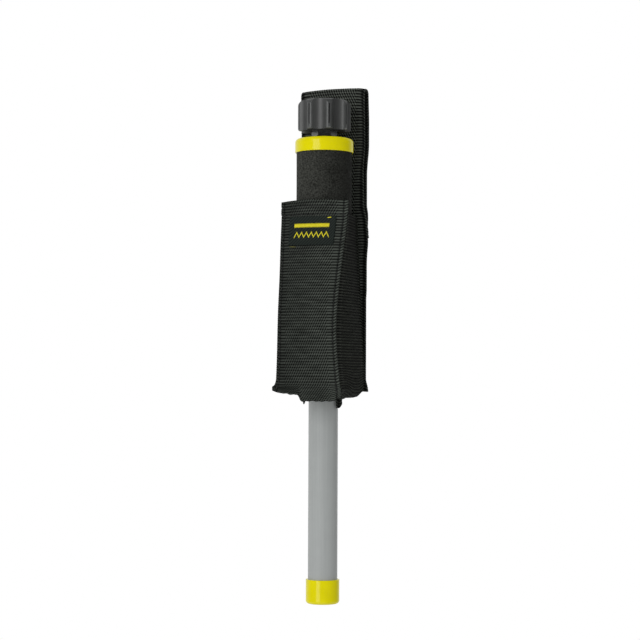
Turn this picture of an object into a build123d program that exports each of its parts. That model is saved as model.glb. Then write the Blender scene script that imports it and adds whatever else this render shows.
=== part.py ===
from build123d import *
import os
from math import hypot, radians, sqrt, tan

# Underwater pinpointer in its belt holster, taken apart into its pieces.
# The probe axis is Z while the pieces are made: tip at height 0, front towards -Y.
# All sizes are in millimetres.

# Pipe and tip
tube_od = 21.3
tube_wall = 2.8
tube_length = 163.5
tip_cap_wall = 1.45
tip_cap_floor = 1.6
tip_cap_height = 17.5
tip_cap_round = 2.2
tip_cap_lip = 0.35
glue_gap = 0.05

# Search coil
core_d = 8.0
core_length = 70.0
core_socket_depth = 3.0
tip_plug_height = 6.0
bobbin_wall = 0.9
bobbin_length = 58.0
flange_thickness = 1.2
flange_clearance = 0.15
winding_inset = 0.9
lead_d = 1.2
lead_tail = 8.0

# Reducer between pipe and handle
socket_depth = 16.0
reducer_flange = 5.0
reducer_spigot = 15.0
reducer_chamfer = 3.8

# Battery and its bay
battery_width = 26.5
battery_depth = 17.5
battery_height = 46.4
battery_corner = 2.5
battery_clearance = 1.05
terminal_d = 5.6
terminal_height = 2.1
terminal_pitch = 12.7
snap_height = 5.0
snap_side_margin = 1.4
snap_front_margin = 2.1
pad_thickness = 3.0
pad_margin = 1.0
cushion_d = 21.0
cushion_thickness = 6.5
bay_slack = 2.0
wire_d = 1.6
wire_bend = 3.0
wire_gap = 0.8
wire_pitch = 4.0
wire_landing = 4.8

# Circuit board and its supports
board_length = 63.0
board_thickness = 1.6
board_edge_gap = 1.6
board_tongue = 1.5
bulkhead_thickness = 3.0
slot_clearance = 0.1
chip_height = 1.75
chip_chamfer = 0.35
small_chip_width = 5.5
small_chip_length = 10.0
small_chip_rise = 12.0
small_chip_pitch = 12.0
large_chip_width = 7.5
large_chip_length = 13.0
chip_row_gap = 6.0
capacitor_d = 8.0
capacitor_length = 11.5
capacitor_drop = 6.5
capacitor_round = 0.5
capacitor_wire_gap = 0.6

# Vibration motor
motor_d = 10.0
motor_length = 20.0
motor_rise = 22.0
clip_wall = 1.0
clip_length = 12.0
motor_chamfer = 0.5
motor_lead_pitch = 5.0
motor_lead_drop = 3.0
shaft_d = 1.5
shaft_length = 9.0
weight_radius = 4.6
weight_length = 6.0
weight_gap = 1.2
running_clearance = 0.05

# Handle
handle_wall = 2.25
grip_thickness = 2.0
grip_foot_gap = 2.0
grip_top_gap = 3.2
grip_round = 0.8
end_cap_wall = 0.9
end_cap_top = 1.0
end_cap_skirt = 9.3
end_cap_round = 3.0
end_cap_lip = 0.4

# Expansion plug
plug_clearance = 0.1
plug_lip = 1.1
plug_rim_gap = 0.35
plate_spigot = 3.0
bung_height = 16.6
lower_plate_thickness = 3.0
lower_plate_inset = 0.7
lower_plate_chamfer = 0.6
stud_d = 10.0
stud_clearance = 0.35
stud_tail = 2.0
stud_reach = 13.0
thread_pitch = 1.5
knob_turns = 3.0
nut_flats = 16.0
nut_height = 8.4
nut_turn = -10.0
nut_face_inset = 0.5
nut_chamfer_angle = 30.0
washer_od = 20.0
washer_thickness = 1.0
oring_section = 2.0

# Knob
knob_d = 38.7
knob_height = 22.3
knob_top_round = 4.5
knob_foot_round = 1.6
knob_gap = 4.6
flute_count = 8
flute_depth = 3.8
flute_radius = 6.6
flute_edge_round = 2.2
land_angle = 30.0
slit_width = 0.6
slit_depth = 0.9
slit_length = 14.6
slit_rise = 3.7

# Holster webbing
webbing_width = 50.8
webbing_thickness = 1.8
pouch_ease = 1.0
seat_gap = 0.3
seam_gap = 0.15
hole_clearance = 0.9
pouch_height = 136.0
pouch_foot = 3.4
gusset_height = 128.0
gusset_inset = 1.9
gusset_corner = 8.0
sag_depth = 6.1
sag_bend = 5.0
tab_width = 5.0
tab_drop = 6.0
strap_clearance = 0.65
strap_rise = 223.0
strap_lean = 1.8
belt_gap = 5.0
loop_length = 97.0
loop_taper = 8.0
loop_tail = 11.0
lean_bend = 60.0
loop_bend = 4.0
taper_bend = 6.0
label_width = 35.4
label_height = 20.7
label_thickness = 0.7
label_drop = 10.5

# Radii that follow from the sizes
tube_r = tube_od / 2
tube_bore_r = tube_r - tube_wall
tip_cap_r = tube_r + glue_gap + tip_cap_wall
core_r = core_d / 2
flange_r = tube_bore_r - flange_clearance
battery_reach = battery_corner + hypot(
    battery_width / 2 - battery_corner, battery_depth / 2 - battery_corner
)
bore_r = battery_reach + battery_clearance
handle_r = bore_r + handle_wall
grip_r = handle_r + glue_gap + grip_thickness
end_cap_r = grip_r + glue_gap + end_cap_wall
plug_r = bore_r - plug_clearance
plug_rim_r = bore_r + plug_lip
stud_r = stud_d / 2
stud_hole_r = stud_r + stud_clearance
stud_travel = thread_pitch * knob_turns

# Heights above the tip that follow from the sizes
tube_bottom = tip_cap_floor
tube_top = tube_bottom + tube_length
reducer_bottom = tube_top - socket_depth
handle_bottom = reducer_bottom + reducer_flange
reducer_top = handle_bottom + reducer_spigot
board_bottom = reducer_top + bulkhead_thickness - board_tongue
board_top = board_bottom + board_length
upper_bulkhead_bottom = board_top - board_tongue
pad_bottom = upper_bulkhead_bottom + bulkhead_thickness
battery_bottom = pad_bottom + pad_thickness
battery_top = battery_bottom + battery_height
snap_top = battery_top + glue_gap + snap_height
cushion_top = snap_top + cushion_thickness
stud_bottom = cushion_top + bay_slack + stud_travel
lower_nut_bottom = stud_bottom + stud_tail
lower_plate_bottom = lower_nut_bottom + nut_height
bung_bottom = lower_plate_bottom + lower_plate_thickness
bung_top = bung_bottom + bung_height
handle_top = bung_top + plate_spigot
plug_top = handle_top + end_cap_top
washer_top = plug_top + washer_thickness
knob_bottom = washer_top + knob_gap
knob_top = knob_bottom + knob_height
stud_top = washer_top + stud_reach

# Places across the probe axis that follow from the sizes
motor_y = board_thickness / 2 + clip_wall + motor_d / 2
motor_bottom = board_bottom + motor_rise
motor_top = motor_bottom + motor_length
coil_bottom = tube_bottom + tip_plug_height + glue_gap
coil_top = coil_bottom + bobbin_length
coil_lead_x = (core_r + tube_bore_r) / 2
lead_y = board_thickness / 2 + lead_d / 2 + glue_gap
wire_x = wire_pitch / 2
wire_y = -(battery_depth / 2 + wire_gap + wire_d / 2)
wire_landing_z = upper_bulkhead_bottom - wire_landing
capacitor_x = wire_x + wire_d / 2 + capacitor_wire_gap + capacitor_d / 2
capacitor_bottom = board_top - capacitor_drop - capacitor_length
snap_depth = battery_depth - 2 * snap_front_margin
strap_y = end_cap_r + strap_clearance
gusset_x = webbing_width / 2 - gusset_inset
gusset_back = strap_y - seam_gap
sag_z = reducer_bottom - seat_gap - webbing_thickness / 2
pouch_bottom = reducer_bottom + pouch_foot
pouch_top = pouch_bottom + pouch_height
strap_top = pouch_bottom + strap_rise
slot_y = strap_y + webbing_thickness + belt_gap / 2
slot_z = strap_top - webbing_thickness - loop_length / 2

# Front panel sections, from the foot up: share of its height, swell, bow, narrowing
front_levels = [
    (0.0, 11.4, 3.0, 0.2),
    (0.24, 13.4, 5.0, 1.8),
    (0.48, 13.4, 6.0, 2.2),
    (0.73, 6.5, 4.5, 1.0),
    (1.0, 0.0, 2.9, 0.0),
]

# Gusset sections at the same heights above its foot: side ease, back inset
gusset_levels = [(1.6, 1.0), (1.2, 3.0), (0.8, 5.0), (0.6, 6.5)]


# How a block or bar stands on its place
ON_FOOT = (Align.CENTER, Align.CENTER, Align.MIN)
ON_BACK = (Align.CENTER, Align.MAX, Align.MIN)
ALONG_BACK = (Align.CENTER, Align.MIN, Align.MIN)
TAB_PLACE = (Align.MIN, Align.CENTER, Align.MAX)
UNDER_FRONT = (Align.CENTER, Align.MAX, Align.MAX)


def ring(outer_r, inner_r, low, high):
    """A straight tube on the probe axis."""
    body = Pos(0, 0, low) * Cylinder(outer_r, high - low, align=ON_FOOT)
    hole = Pos(0, 0, low) * Cylinder(inner_r, high - low, align=ON_FOOT)
    return body - hole


def disc(radius, low, high):
    """A straight round bar on the probe axis."""
    return Pos(0, 0, low) * Cylinder(radius, high - low, align=ON_FOOT)


def turned(*corners):
    """A turned piece from the corners of its half outline, as radius and height."""
    return revolve(Plane.XZ * make_face(Polyline(*corners, close=True)), Axis.Z)


def round_edge(radius, height):
    """Picks the round edges that have this radius and height."""
    return lambda edge: (
        edge.geom_type == GeomType.CIRCLE
        and abs(edge.radius - radius) < 1e-3
        and abs(edge.center().Z - height) < 1e-3
    )


def hexagon(flats, low, high):
    """A hexagonal bar on the probe axis."""
    outline = RegularPolygon(flats / 2, 6, major_radius=False, rotation=30 + nut_turn)
    return Pos(0, 0, low) * extrude(outline, high - low)


def wire(diameter, bend, *points):
    """An insulated wire along straight runs with round bends."""
    path = FilletPolyline(*points, radius=bend) if len(points) > 2 else Line(*points)
    start = Plane(origin=path @ 0, z_dir=path % 0)
    return sweep(start * Circle(diameter / 2), path)


def bowed_strip(first, middle, last, thickness, height):
    """A level strip section of even thickness along an arc through three points."""
    line = ThreePointArc(first, middle, last)
    centre = line.arc_center
    sides = []
    for shift in (-thickness / 2, thickness / 2):
        grow = (line.radius + shift) / line.radius
        ends = [centre + (Vector(*p) - centre) * grow for p in (first, middle, last)]
        sides.append(ThreePointArc(*ends))
    inner, outer = sides
    closing = [Line(inner @ 0, outer @ 0), Line(inner @ 1, outer @ 1)]
    return Pos(0, 0, height) * make_face([inner, outer] + closing)


def make_tip_cap():
    """The soft cap over the sensing end, with a round foot and a small lip radius."""
    cap = disc(tip_cap_r, 0, tip_cap_height)
    cap = fillet(cap.edges().filter_by(round_edge(tip_cap_r, 0)), tip_cap_round)
    cap -= disc(tube_r + glue_gap, tip_cap_floor, tip_cap_height)
    lip = cap.edges().filter_by(round_edge(tip_cap_r, tip_cap_height))
    return fillet(lip, tip_cap_lip)


def make_tip_plug():
    """The potting that closes the pipe and holds the foot of the core."""
    top = tube_bottom + tip_plug_height
    plug = disc(tube_bore_r - glue_gap, tube_bottom, top)
    return plug - disc(core_r + glue_gap, top - core_socket_depth, top)


def make_coil_core():
    foot = tube_bottom + tip_plug_height - core_socket_depth
    return disc(core_r, foot, foot + core_length)


def make_coil_bobbin():
    """The former on the core, with a flange at both ends of the winding."""
    inside = core_r + glue_gap
    sleeve_r = inside + bobbin_wall
    return turned(
        (inside, coil_bottom),
        (flange_r, coil_bottom),
        (flange_r, coil_bottom + flange_thickness),
        (sleeve_r, coil_bottom + flange_thickness),
        (sleeve_r, coil_top - flange_thickness),
        (flange_r, coil_top - flange_thickness),
        (flange_r, coil_top),
        (inside, coil_top),
    )


def make_coil_winding():
    inside = core_r + glue_gap + bobbin_wall + glue_gap
    low = coil_bottom + flange_thickness + glue_gap
    high = coil_top - flange_thickness - glue_gap
    return ring(flange_r - winding_inset, inside, low, high)


def make_coil_leads():
    """Two wires from the coil up the pipe to the back of the board."""
    low = coil_top + glue_gap
    high = reducer_top + bulkhead_thickness + lead_tail
    return [
        wire(lead_d, wire_bend, (x, lead_y, low), (x, lead_y, high))
        for x in (-coil_lead_x, coil_lead_x)
    ]


def make_reducer():
    """The bush that holds the pipe in the foot of the handle."""
    inside = tube_r + glue_gap
    spigot_r = bore_r - glue_gap
    throat = tube_bore_r
    return turned(
        (inside, reducer_bottom),
        (handle_r - reducer_chamfer, reducer_bottom),
        (handle_r, reducer_bottom + reducer_chamfer),
        (handle_r, handle_bottom),
        (spigot_r, handle_bottom),
        (spigot_r, reducer_top),
        (throat, reducer_top),
        (throat, tube_top + glue_gap),
        (inside, tube_top + glue_gap),
    )


def make_grip_sleeve():
    """The foam sleeve on the handle, with soft rims."""
    low = handle_bottom + grip_foot_gap
    high = handle_top - grip_top_gap
    sleeve = ring(grip_r, handle_r + glue_gap, low, high)
    rims = sleeve.edges().filter_by(round_edge(grip_r, low))
    rims += sleeve.edges().filter_by(round_edge(grip_r, high))
    return fillet(rims, grip_round)


def make_end_cap():
    """The soft ring over the handle end, with a round shoulder and an open top."""
    low = handle_top - end_cap_skirt
    cap = disc(end_cap_r, low, plug_top)
    cap = fillet(cap.edges().filter_by(round_edge(end_cap_r, plug_top)), end_cap_round)
    cap = fillet(cap.edges().filter_by(round_edge(end_cap_r, low)), end_cap_lip)
    hollow = disc(grip_r + glue_gap, low, handle_top)
    ceiling = hollow.edges().filter_by(round_edge(grip_r + glue_gap, handle_top))
    hollow = fillet(ceiling, grip_thickness)
    return cap - hollow - disc(plug_rim_r + plug_rim_gap, low, plug_top)


def make_bulkhead(low, slot_low, slot_high, wire_notch):
    """A round support with a slot for the board edge and a notch for the wires."""
    body = disc(bore_r - glue_gap, low, low + bulkhead_thickness)
    slot_width = 2 * (bore_r - board_edge_gap + slot_clearance)
    slot_depth = board_thickness + 2 * slot_clearance
    slot = Box(slot_width, slot_depth, slot_high - slot_low, align=ON_FOOT)
    notch = Box(wire_notch[0], wire_notch[1], bulkhead_thickness, align=ON_FOOT)
    return body - Pos(0, 0, slot_low) * slot - Pos(0, wire_notch[2], low) * notch


def make_lower_bulkhead():
    """The lower support: it stands on the reducer and lets the coil leads through."""
    reach = 2 * (coil_lead_x + lead_d)
    gap = 2 * (lead_y + lead_d)
    return make_bulkhead(
        reducer_top, board_bottom, reducer_top + bulkhead_thickness, (reach, gap, 0)
    )


def make_upper_bulkhead():
    """The upper support: it carries the battery and lets its wires past."""
    width = wire_pitch + 2 * wire_d
    depth = bore_r + wire_y + wire_d
    centre = -bore_r + depth / 2
    top_of_slot = board_top + slot_clearance
    return make_bulkhead(
        upper_bulkhead_bottom, upper_bulkhead_bottom, top_of_slot, (width, depth, centre)
    )


def make_circuit_board():
    width = 2 * (bore_r - board_edge_gap)
    board = Box(width, board_thickness, board_length, align=ON_FOOT)
    return Pos(0, 0, board_bottom) * board


def make_board_chips():
    """Two small chip packages on the front of the board and a large one above them."""
    small_low = board_bottom + small_chip_rise
    large_low = small_low + small_chip_length + chip_row_gap
    places = [
        (-small_chip_pitch / 2, small_low, small_chip_width, small_chip_length),
        (small_chip_pitch / 2, small_low, small_chip_width, small_chip_length),
        (0, large_low, large_chip_width, large_chip_length),
    ]
    chips = []
    for x, low, width, length in places:
        chip = Box(width, chip_height, length, align=ON_BACK)
        front = chip.faces().sort_by(Axis.Y)[0]
        chip = chamfer(front.edges(), chip_chamfer)
        chips.append(Pos(x, -board_thickness / 2, low) * chip)
    return chips


def make_board_capacitors():
    """Two round capacitors lying on the front of the board."""
    y = -board_thickness / 2 - capacitor_d / 2
    can = Cylinder(capacitor_d / 2, capacitor_length, align=ON_FOOT)
    can = fillet(can.edges().filter_by(GeomType.CIRCLE), capacitor_round)
    return [Pos(x, y, capacitor_bottom) * can for x in (-capacitor_x, capacitor_x)]


def make_motor():
    """The motor can, with a bore for its shaft."""
    can = Cylinder(motor_d / 2, motor_length, align=ON_FOOT)
    can = chamfer(can.edges().filter_by(GeomType.CIRCLE), motor_chamfer)
    bore = Cylinder(shaft_d / 2 + running_clearance, motor_length, align=ON_FOOT)
    return Pos(0, motor_y, motor_bottom) * (can - Pos(0, 0, motor_length / 2) * bore)


def make_motor_clip():
    """The saddle that holds the motor to the back of the board."""
    inside = motor_d / 2 + glue_gap
    outside = motor_d / 2 + clip_wall - glue_gap
    low = motor_bottom + (motor_length - clip_length) / 2
    band = Pos(0, motor_y, low) * Cylinder(outside, clip_length, align=ON_FOOT)
    foot_depth = motor_y - board_thickness / 2
    foot = Box(motor_d, foot_depth, clip_length, align=ALONG_BACK)
    saddle = band + Pos(0, board_thickness / 2, low) * foot
    return saddle - Pos(0, motor_y, low) * Cylinder(inside, clip_length, align=ON_FOOT)


def make_motor_leads():
    """Two short wires from the foot of the motor to the board."""
    top = motor_bottom - glue_gap
    low = motor_bottom - motor_lead_drop
    face = board_thickness / 2 + glue_gap
    return [
        wire(lead_d, lead_d, (x, motor_y, top), (x, motor_y, low), (x, face, low))
        for x in (-motor_lead_pitch / 2, motor_lead_pitch / 2)
    ]


def make_motor_shaft():
    low = motor_bottom + motor_length / 2 + glue_gap
    shaft = Cylinder(shaft_d / 2, motor_top + shaft_length - low, align=ON_FOOT)
    return Pos(0, motor_y, low) * shaft


def make_eccentric_weight():
    """The half-round weight that shakes the handle as it spins."""
    drum = Cylinder(weight_radius, weight_length, align=ON_FOOT)
    far_half = Box(4 * weight_radius, 2 * weight_radius, weight_length, align=ALONG_BACK)
    hub = Cylinder(shaft_d, weight_length, align=ON_FOOT)
    bore = Cylinder(shaft_d / 2 + glue_gap, weight_length, align=ON_FOOT)
    return Pos(0, motor_y, motor_top + weight_gap) * (drum - far_half + hub - bore)


def make_battery():
    """The block battery, with its upright edges rounded."""
    block = Box(battery_width, battery_depth, battery_height, align=ON_FOOT)
    block = fillet(block.edges().filter_by(Axis.Z), battery_corner)
    return Pos(0, 0, battery_bottom) * block


def make_battery_terminals():
    stud = Cylinder(terminal_d / 2, terminal_height, align=ON_FOOT)
    return [Pos(x, 0, battery_top) * stud for x in (-terminal_pitch / 2, terminal_pitch / 2)]


def make_battery_snap():
    """The cap that snaps over both battery terminals."""
    width = battery_width - 2 * snap_side_margin
    cap = Box(width, snap_depth, snap_height, align=ON_FOOT)
    cap = fillet(cap.edges().filter_by(Axis.Z), battery_corner)
    cap = Pos(0, 0, battery_top + glue_gap) * cap
    for x in (-terminal_pitch / 2, terminal_pitch / 2):
        socket = Cylinder(terminal_d / 2 + glue_gap, terminal_height + glue_gap, align=ON_FOOT)
        cap -= Pos(x, 0, battery_top) * socket
    return cap


def make_battery_lead(x):
    """One wire from the snap, down the flat of the battery, to the board."""
    exit_y = -snap_depth / 2 - glue_gap
    exit_z = battery_top + glue_gap + snap_height / 2
    face = -board_thickness / 2 - glue_gap
    return wire(
        wire_d,
        wire_bend,
        (x, exit_y, exit_z),
        (x, wire_y, exit_z),
        (x, wire_y, wire_landing_z),
        (x, face, wire_landing_z),
    )


def make_battery_pad():
    """The foam pad between the upper support and the battery."""
    width = battery_width - 2 * pad_margin
    depth = battery_depth - 2 * pad_margin
    return Pos(0, 0, pad_bottom) * Box(width, depth, pad_thickness, align=ON_FOOT)


def make_battery_cushion():
    """The foam block on the snap that keeps the battery from rattling."""
    return disc(cushion_d / 2, snap_top, cushion_top)


def make_pressure_plate():
    """The upper plate: a rim on the handle end, a spigot in the bore, a seal seat."""
    plate = turned(
        (stud_hole_r, bung_top),
        (plug_r, bung_top),
        (plug_r, handle_top),
        (plug_rim_r, handle_top),
        (plug_rim_r, plug_top),
        (stud_hole_r, plug_top),
    )
    seat_r = stud_r + plug_clearance + oring_section + glue_gap
    return plate - disc(seat_r, plug_top - oring_section - glue_gap, plug_top)


def make_stud_oring():
    middle = stud_r + plug_clearance + oring_section / 2
    height = plug_top - oring_section / 2
    return Pos(0, 0, height) * Torus(middle, oring_section / 2)


def make_thrust_washer():
    return ring(washer_od / 2, stud_hole_r, plug_top, washer_top)


def make_expansion_bung():
    """The rubber plug that swells against the bore when it is squeezed."""
    bung = ring(plug_r, stud_hole_r, bung_bottom, bung_top)
    rims = bung.edges().filter_by(round_edge(plug_r, bung_bottom))
    return fillet(rims, lower_plate_inset)


def make_lower_plate():
    radius = plug_r - lower_plate_inset
    plate = ring(radius, stud_r + glue_gap, lower_plate_bottom, bung_bottom)
    rim = plate.edges().filter_by(round_edge(radius, lower_plate_bottom))
    return chamfer(rim, lower_plate_chamfer)


def make_plug_stud():
    stud = disc(stud_r, stud_bottom, stud_top)
    return chamfer(stud.edges().filter_by(GeomType.CIRCLE), thread_pitch / 2)


def make_nut(low, bore_gap):
    """A hexagon nut with its corners turned off at both ends."""
    high = low + nut_height
    nut = hexagon(nut_flats, low, high)
    corner_r = nut_flats / sqrt(3)
    face_r = nut_flats / 2 - nut_face_inset
    slope = (corner_r - face_r) * tan(radians(nut_chamfer_angle))
    cone = turned(
        (0, low),
        (face_r, low),
        (corner_r, low + slope),
        (corner_r, high - slope),
        (face_r, high),
        (0, high),
    )
    return (nut & cone) - disc(stud_r + bore_gap, low, high)


def knob_outline():
    """The knob seen from above: a circle with round flutes whose edges are eased."""
    first = land_angle + 180 / flute_count
    flute_ring = knob_d / 2 - flute_depth + flute_radius
    outline = Rot(0, 0, first) * Circle(knob_d / 2)
    for k in range(flute_count):
        turn = first + k * 360 / flute_count
        outline -= Rot(0, 0, turn) * Pos(flute_ring, 0) * Circle(flute_radius)
    return fillet(outline.vertices(), flute_edge_round)


def make_knob():
    """The hand knob: soft flutes, a slit in each land and a pocket for its nut."""
    body = disc(knob_d / 2, knob_bottom, knob_top)
    crown = body.edges().filter_by(round_edge(knob_d / 2, knob_top))
    body = fillet(crown, knob_top_round)
    foot = body.edges().filter_by(round_edge(knob_d / 2, knob_bottom))
    body = fillet(foot, knob_foot_round)
    body &= Pos(0, 0, knob_bottom) * extrude(knob_outline(), knob_height)
    slit = Box(2 * slit_depth, slit_width, slit_length, align=ON_FOOT)
    slit = Pos(0, 0, knob_bottom + slit_rise) * slit
    for k in range(flute_count):
        body -= Rot(0, 0, land_angle + k * 360 / flute_count) * Pos(knob_d / 2, 0, 0) * slit
    pocket_top = washer_top + nut_height + glue_gap
    body -= hexagon(nut_flats + 2 * glue_gap, knob_bottom, pocket_top)
    return body - disc(stud_hole_r, knob_bottom, stud_top + thread_pitch)


def front_section(level):
    """One level section of the front panel, bowed outwards."""
    share, swell, bow, narrowing = level
    half = webbing_width / 2 - narrowing
    front = -(grip_r + pouch_ease + swell + webbing_thickness / 2)
    edge = front + bow
    height = pouch_bottom + share * pouch_height
    return bowed_strip((-half, edge), (0, front), (half, edge), webbing_thickness, height)


def front_inside(share, x):
    """Where the inner face of the front panel is at this height and side place."""
    for low, high in zip(front_levels, front_levels[1:]):
        if low[0] <= share <= high[0]:
            part = (share - low[0]) / (high[0] - low[0])
            mixed = [a + (b - a) * part for a, b in zip(low, high)]
    half = webbing_width / 2 - mixed[3]
    radius = (half * half + mixed[2] * mixed[2]) / (2 * mixed[2])
    centre = radius - (grip_r + pouch_ease + mixed[1] + webbing_thickness / 2)
    inner_r = radius - webbing_thickness / 2
    return centre - sqrt(inner_r * inner_r - x * x)


def make_front_panel():
    """The front webbing: it hugs the grip at the hem and swells towards the foot."""
    return loft([front_section(level) for level in front_levels])


def make_gusset_trough(foot_front, foot_back, shoulder):
    """The foot of the gusset strip: it sags under the handle and turns up at the sides."""
    reach = handle_r - reducer_chamfer + webbing_thickness / 2
    path = Plane.XZ * FilletPolyline(
        (-gusset_x, shoulder),
        (-gusset_x, sag_z + sag_depth),
        (-reach, sag_z),
        (reach, sag_z),
        (gusset_x, sag_z + sag_depth),
        (gusset_x, shoulder),
        radius=sag_bend / 2,
    )
    start = Plane(origin=path @ 0, x_dir=(0, 1, 0), z_dir=path % 0)
    strip = Rectangle(foot_back - foot_front, webbing_thickness)
    strip = Pos((foot_back + foot_front) / 2, 0) * strip
    trough = sweep(start * strip, path)
    hole_r = tip_cap_r + hole_clearance
    tab = Box(webbing_thickness, tab_width, tab_drop + webbing_thickness, align=TAB_PLACE)
    tab = Pos(hole_r, 0, sag_z + webbing_thickness / 2) * tab
    return trough + tab - disc(hole_r, sag_z - tab_drop * 2, shoulder)


def make_gusset_side(foot_front, foot_back, shoulder):
    """One side of the gusset strip, from its straight foot to the pouch hem."""
    foot = Rectangle(webbing_thickness, foot_back - foot_front)
    sections = [Pos(gusset_x, (foot_back + foot_front) / 2, shoulder) * foot]
    for (share, _, _, narrowing), (ease, inset) in zip(front_levels[1:], gusset_levels):
        front_x = gusset_x - narrowing
        front_y = front_inside(share, front_x) - webbing_thickness / 4
        side = (grip_r + ease + webbing_thickness / 2, 0)
        back = (gusset_x - inset, foot_back)
        height = pouch_bottom + share * pouch_height
        sections.append(bowed_strip((front_x, front_y), side, back, webbing_thickness, height))
    return loft(sections)


def make_gusset_strap(panel):
    """One webbing strip: up both sides and under the foot, with a hole for the pipe."""
    foot_front = front_inside(0, gusset_x) - webbing_thickness / 4
    foot_back = gusset_back + webbing_thickness / 4
    shoulder = pouch_bottom + 2 * webbing_thickness
    side = make_gusset_side(foot_front, foot_back, shoulder)
    trough = make_gusset_trough(foot_front, foot_back, shoulder)
    strap = trough + side + mirror(side, Plane.YZ)
    outline = Rectangle(2 * webbing_width, 2 * gusset_height)
    outline = fillet(outline.vertices(), gusset_corner)
    outline = Pos(gusset_back - webbing_width, pouch_bottom) * outline
    keep = extrude(Plane.YZ * outline, webbing_width, both=True)
    return (strap & keep) - panel


def make_back_strap():
    """The back webbing: up behind the probe, folded over and back down as a belt loop."""
    front_y = strap_y + webbing_thickness / 2
    rear_y = front_y + webbing_thickness + belt_gap
    tail_y = front_y + webbing_thickness + seam_gap
    crown = strap_top - webbing_thickness / 2
    loop_foot = strap_top - webbing_thickness - loop_length
    path = Plane.YZ * FilletPolyline(
        (front_y, pouch_bottom),
        (front_y, plug_top),
        (front_y - strap_lean, crown),
        (rear_y, crown),
        (rear_y, loop_foot + loop_taper),
        (tail_y, loop_foot),
        (tail_y, loop_foot - loop_tail),
        radius=(lean_bend, loop_bend, loop_bend, taper_bend, taper_bend),
    )
    start = Plane(origin=path @ 0, x_dir=(1, 0, 0), z_dir=path % 0)
    return sweep(start * Rectangle(webbing_width, webbing_thickness), path)


def make_label_patch(panel):
    """The blank patch sewn on the front panel, a thin layer that follows its face."""
    high = pouch_top - label_drop
    window = Box(label_width, 4 * grip_r, label_height, align=UNDER_FRONT)
    layer = Pos(0, -label_thickness, 0) * panel - panel
    return layer & Pos(0, 0, high) * window


front_panel = make_front_panel()
pieces = {
    "tip_cap": make_tip_cap(),
    "probe_tube": ring(tube_r, tube_bore_r, tube_bottom, tube_top),
    "tip_plug": make_tip_plug(),
    "coil_core": make_coil_core(),
    "coil_bobbin": make_coil_bobbin(),
    "coil_winding": make_coil_winding(),
    "coil_leads": make_coil_leads(),
    "reducer": make_reducer(),
    "handle_tube": ring(handle_r, bore_r, handle_bottom, handle_top),
    "grip_sleeve": make_grip_sleeve(),
    "end_cap": make_end_cap(),
    "lower_bulkhead": make_lower_bulkhead(),
    "upper_bulkhead": make_upper_bulkhead(),
    "circuit_board": make_circuit_board(),
    "board_chips": make_board_chips(),
    "board_capacitors": make_board_capacitors(),
    "vibration_motor": make_motor(),
    "motor_clip": make_motor_clip(),
    "motor_leads": make_motor_leads(),
    "motor_shaft": make_motor_shaft(),
    "eccentric_weight": make_eccentric_weight(),
    "battery": make_battery(),
    "battery_terminals": make_battery_terminals(),
    "battery_snap": make_battery_snap(),
    "battery_lead_plus": make_battery_lead(wire_x),
    "battery_lead_minus": make_battery_lead(-wire_x),
    "battery_pad": make_battery_pad(),
    "battery_cushion": make_battery_cushion(),
    "pressure_plate": make_pressure_plate(),
    "stud_oring": make_stud_oring(),
    "thrust_washer": make_thrust_washer(),
    "expansion_bung": make_expansion_bung(),
    "lower_plate": make_lower_plate(),
    "plug_stud": make_plug_stud(),
    "stud_nut": make_nut(lower_nut_bottom, glue_gap),
    "knob": make_knob(),
    "knob_nut": make_nut(washer_top, running_clearance),
    "front_panel": front_panel,
    "gusset_strap": make_gusset_strap(front_panel),
    "back_strap": make_back_strap(),
    "label_patch": make_label_patch(front_panel),
}

os.makedirs("parts", exist_ok=True)
for name, piece in pieces.items():
    shape = Compound(children=piece) if isinstance(piece, list) else piece
    export_step(Pos(0, -slot_y, -slot_z) * shape, f"parts/{name}.step")
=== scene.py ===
# %% [markdown]
# # Underwater pinpointer in its belt holster
# The real object is a sensing pipe with a foam-covered battery handle, closed by a rubber plug and
# a fluted knob, and carried in a holster sewn from two-inch webbing. The rigid pieces come from the
# frame and only need a finish. What is soft, that is the webbing, the patch, the foam and the rubber,
# is modelled here, because cloth and foam get their look from their surface and not from their size.

import math

import bpy
import numpy as np
from mathutils import Matrix, Vector, noise


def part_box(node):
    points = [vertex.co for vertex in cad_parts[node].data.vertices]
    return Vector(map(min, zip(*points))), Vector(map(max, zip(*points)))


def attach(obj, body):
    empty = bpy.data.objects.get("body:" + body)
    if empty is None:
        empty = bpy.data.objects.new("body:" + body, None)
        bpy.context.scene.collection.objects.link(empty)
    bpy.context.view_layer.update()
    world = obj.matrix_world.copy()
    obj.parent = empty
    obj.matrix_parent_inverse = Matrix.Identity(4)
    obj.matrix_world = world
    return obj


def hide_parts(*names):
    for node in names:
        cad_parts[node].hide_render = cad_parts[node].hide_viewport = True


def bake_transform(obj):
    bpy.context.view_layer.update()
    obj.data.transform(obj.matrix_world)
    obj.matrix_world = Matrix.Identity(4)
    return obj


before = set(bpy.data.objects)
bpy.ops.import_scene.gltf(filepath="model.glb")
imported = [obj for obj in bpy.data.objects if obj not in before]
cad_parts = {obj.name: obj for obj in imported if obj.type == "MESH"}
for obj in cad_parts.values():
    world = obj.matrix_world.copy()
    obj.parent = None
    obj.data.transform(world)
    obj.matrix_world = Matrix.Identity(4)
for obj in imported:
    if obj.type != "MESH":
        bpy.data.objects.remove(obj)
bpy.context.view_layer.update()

# %% [markdown]
# Sizes on the bench are taken in millimetres from the probe's tip, along the probe's own axis. The
# frame is in metres from the belt slot. One function carries points from the first to the second, so
# the rest of the lesson can be read with a ruler in hand.

# %% Millimetres from the tip
MM = 0.001
pipe_low, pipe_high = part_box("probe_tube")
tip_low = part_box("tip_cap")[0]
origin = np.array([0.0, (pipe_low.y + pipe_high.y) / 2, tip_low.z])


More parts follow.
